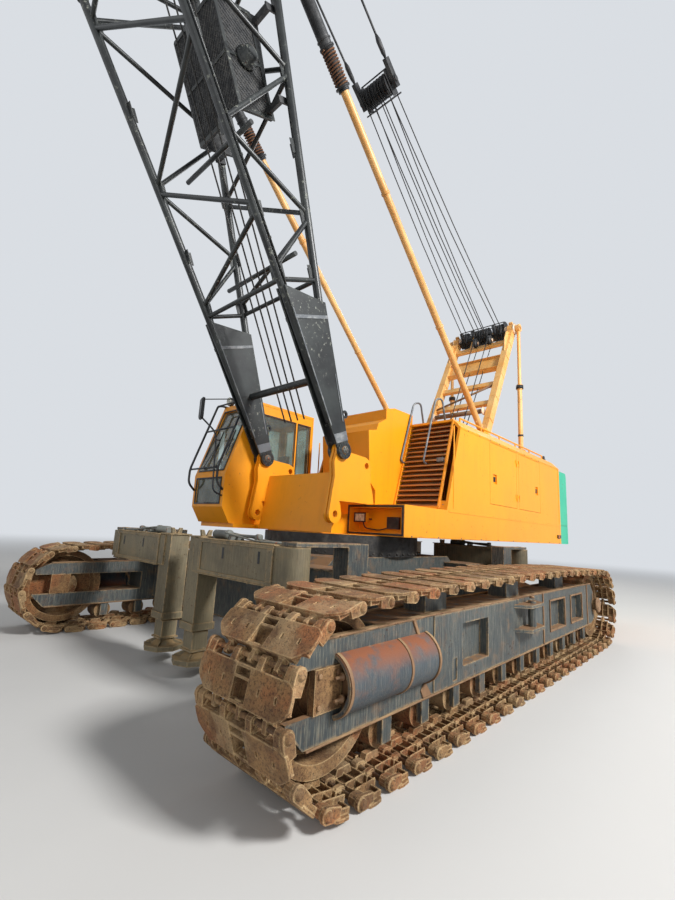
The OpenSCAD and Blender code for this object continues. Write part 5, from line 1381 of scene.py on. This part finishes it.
        rollers = Form(BOOM)
        for y in (0.09, -0.20):
            rollers.sheave((8.25, y * 0.9, 0.51), 0.16, 0.034)
        rollers.piece("guide_sheaves", "boom", "greasy_black", "gantry_cream")
        holders = Form(BOOM)
        for y in (0.155, 0.01, -0.11, -0.255):
            holders.prism([(8.10, 0.98), (8.40, 0.98), (8.32, 0.44), (8.18, 0.44)], y - 0.006, y + 0.006)
        holders.box((8.10, -0.84, 0.98), (8.16, 0.84, 1.03))
        holders.box((8.34, -0.84, 0.98), (8.40, 0.84, 1.03))
        holders.tube([(8.25, -0.26, 0.51), (8.25, 0.16, 0.51)], 0.022, 12)
        for s, v in ((2.9, 0.30), (4.6, 0.05), (11.0, -0.25)):
            wide = half_width(s) - 0.06
            holders.crossbar(s, v - 0.16, wide, 0.035, 12)
        for y in (-0.22, 0.0, 0.22):
            holders.prism([(14.98, -0.50), (15.05, -0.34), (15.35, -0.34), (15.56, -0.54), (15.54, -0.56),
                           (15.34, -0.365), (15.07, -0.365), (15.00, -0.51)], y - 0.006, y + 0.006)
        for x, v in ((15.06, -0.346), (15.35, -0.334), (15.60, drop)):
            holders.crossbar(x, v, 0.52, 0.014)
        for s in SIDES:
            holders.boss((head, s * 0.545, drop), s * Y, 24, (0.095, 0.02), (0.07, 0.03))
            holders.bolts((head, s * 0.565, drop), s * Y, 0.075, 6, 0.012, 0.012)
            holders.prism([(14.64, -0.36), (14.66, -0.36), (14.66, 0.36), (14.64, 0.36)], s * 0.545, s * 0.556)
        holders.piece("boom_brackets", "boom", "boom_black")
        return {"FINISHED"}


class CRANE_OT_rigging(bpy.types.Operator):
    """Luffing ropes between gantry and bridle, pendant sockets, and the hook block's fittings"""
    bl_idname = "crane.rigging"
    bl_label = "Rigging"

    def execute(self, context):
        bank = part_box("gantry_sheaves")
        top = (bank[0] + bank[1]) / 2
        start = joint_at("suspension_swing")
        reach = (Vector((top.x, 0, top.z)) - start).length
        slope = math.atan2(start.z - top.z, start.x - top.x)
        line = Matrix.Translation(start) @ Matrix.Rotation(-slope, 4, "Y") @ Matrix.Diagonal((-1, 1, 1, 1))
        bridle, r = 9.35, 0.198
        falls = ((-0.28, -0.56, -0.48), (-0.12, -0.16, -0.08), (0.12, 0.0, 0.16), (0.28, 0.48, 0.56))
        ropes = Form(line)
        for y, *fars in falls:
            for side, far in zip((1, -1), fars):
                sag = [(between(bridle, reach, t), between(y, far, t),
                        side * between(r, 0.218, t) - 0.10 * math.sin(math.pi * t))
                       for t in (0, 0.25, 0.5, 0.75, 1)]
                ropes.tube(sag, 0.0125, 8)
            ropes.tube([(bridle - r * math.sin(math.radians(a)), y, r * math.cos(math.radians(a)))
                        for a in range(0, 181, 20)], 0.0125, 8)
        ropes.piece("luffing_ropes", "suspension", "greasy_black", "rope")

        sockets = Form(line)
        for s in SIDES:
            y = s * 0.43
            sockets.turn([(0.024, 0.10), (0.045, 0.13), (0.050, 0.32), (0.026, 0.42)], (0, y, 0), X, 16)
            sockets.turn([(0.026, 8.52), (0.050, 8.62), (0.045, 8.84), (0.024, 8.93)], (0, y, 0), X, 16)
            for x in (3.0, 6.0):
                sockets.turn([(0.023, x - 0.22), (0.040, x - 0.20), (0.042, x - 0.06), (0.05, x - 0.04),
                              (0.05, x + 0.04), (0.042, x + 0.06), (0.040, x + 0.20), (0.023, x + 0.22)], (0, y, 0),
                             X, 16)
                sockets.turn([(0.022, -0.07), (0.022, 0.07)], (x, y, 0), Y, 12)
            sockets.boss((9.35, s * 0.47, 0), s * Y, 20, (0.065, 0.02), (0.04, 0.03))
            sockets.bolts((9.35, s * 0.47, 0), s * Y, 0.082, 6, 0.010, 0.012)
        for y in (-0.34, 0.34):
            sockets.box((9.10, y - 0.006, -0.13), (9.60, y + 0.006, 0.13))
        for x, z in ((9.08, 0.16), (9.62, 0.16), (9.62, -0.16)):
            sockets.crossbar(x, z, 0.40, 0.016)
        sockets.piece("pendant_sockets", "suspension", "greasy_black")

        axle = joint_at("hook_hang") - Vector((0, 0, 4.6))
        cheeks = Form(Matrix.Translation(axle))
        spacers = ((0.31, 0.30), (-0.31, 0.30), (0.30, -0.12), (-0.30, -0.12))
        for s in SIDES:
            cheeks.boss((0, s * 0.215, 0), s * Y, 28, (0.10, 0.02), (0.07, 0.035))
            cheeks.bolts((0, s * 0.235, 0), s * Y, 0.085, 6, 0.010, 0.012)
            cheeks.boss((0, s * 0.215, -0.45), s * Y, 20, (0.07, 0.02), (0.05, 0.03))
            for x, z in spacers:
                cheeks.boss((x, s * 0.215, z), s * Y, 6, (0.028, 0.016), (0.018, 0.022))
            cheeks.prism([(0.06, 0.14), (0.08, 0.05), (0.24, 0.05), (0.22, 0.14)], s * 0.215, s * 0.219)
        for x, z in spacers:
            cheeks.crossbar(x * 1.02, z * 1.05, 0.186, 0.014)
        cheeks.piece("block_fittings", "hook_block", "hook_steel")
        latch = Form()
        latch.turn([(0.0555, 0), (0.085, 0.002), (0.085, 0.05), (0.0555, 0.052)], (axle.x, 0, axle.z - 0.60), Z, 6)
        latch.pipe([(axle.x + 0.04, -0.03, axle.z - 0.64), (axle.x + 0.10, 0, axle.z - 0.74),
                    (axle.x + 0.17, 0, axle.z - 0.82)], 0.03, 0.012)
        latch.piece("hook_latch", "hook", "hook_steel", "greasy_black")
        return {"FINISHED"}


GROUPS = {"crane_colours": CraneColours, "crane_shoes": ShoeSizes, "crane_trim": TrimSizes, "crane_stage": StageSizes}
OPERATORS = (CRANE_OT_stage, CRANE_OT_finishes, CRANE_OT_tracks, CRANE_OT_undercarriage, CRANE_OT_jacks,
             CRANE_OT_house, CRANE_OT_cab, CRANE_OT_gantry, CRANE_OT_backstops, CRANE_OT_boom, CRANE_OT_rigging)


class CRANE_PT_panel(bpy.types.Panel):
    """The crane's sizes, colours and pieces"""
    bl_idname = "CRANE_PT_panel"
    bl_label = "Crawler crane"
    bl_space_type = "VIEW_3D"
    bl_region_type = "UI"
    bl_category = "Crane"

    def draw(self, context):
        for name in GROUPS:
            group = getattr(context.scene, name)
            column = self.layout.column(heading=group.bl_rna.description)
            for size in group.__annotations__:
                column.prop(group, size)
        for operator in OPERATORS:
            self.layout.operator(operator.bl_idname)


CLASSES = (*GROUPS.values(), *OPERATORS, CRANE_PT_panel)


def register():
    for kind in CLASSES:
        bpy.utils.register_class(kind)
    for name, kind in GROUPS.items():
        setattr(bpy.types.Scene, name, PointerProperty(type=kind))


def unregister():
    for name in GROUPS:
        delattr(bpy.types.Scene, name)
    for kind in reversed(CLASSES):
        bpy.utils.unregister_class(kind)


def main():
    register()
    for operator in OPERATORS:
        group, name = operator.bl_idname.split(".")
        getattr(getattr(bpy.ops, group), name)()


if __name__ == "__main__":
    main()
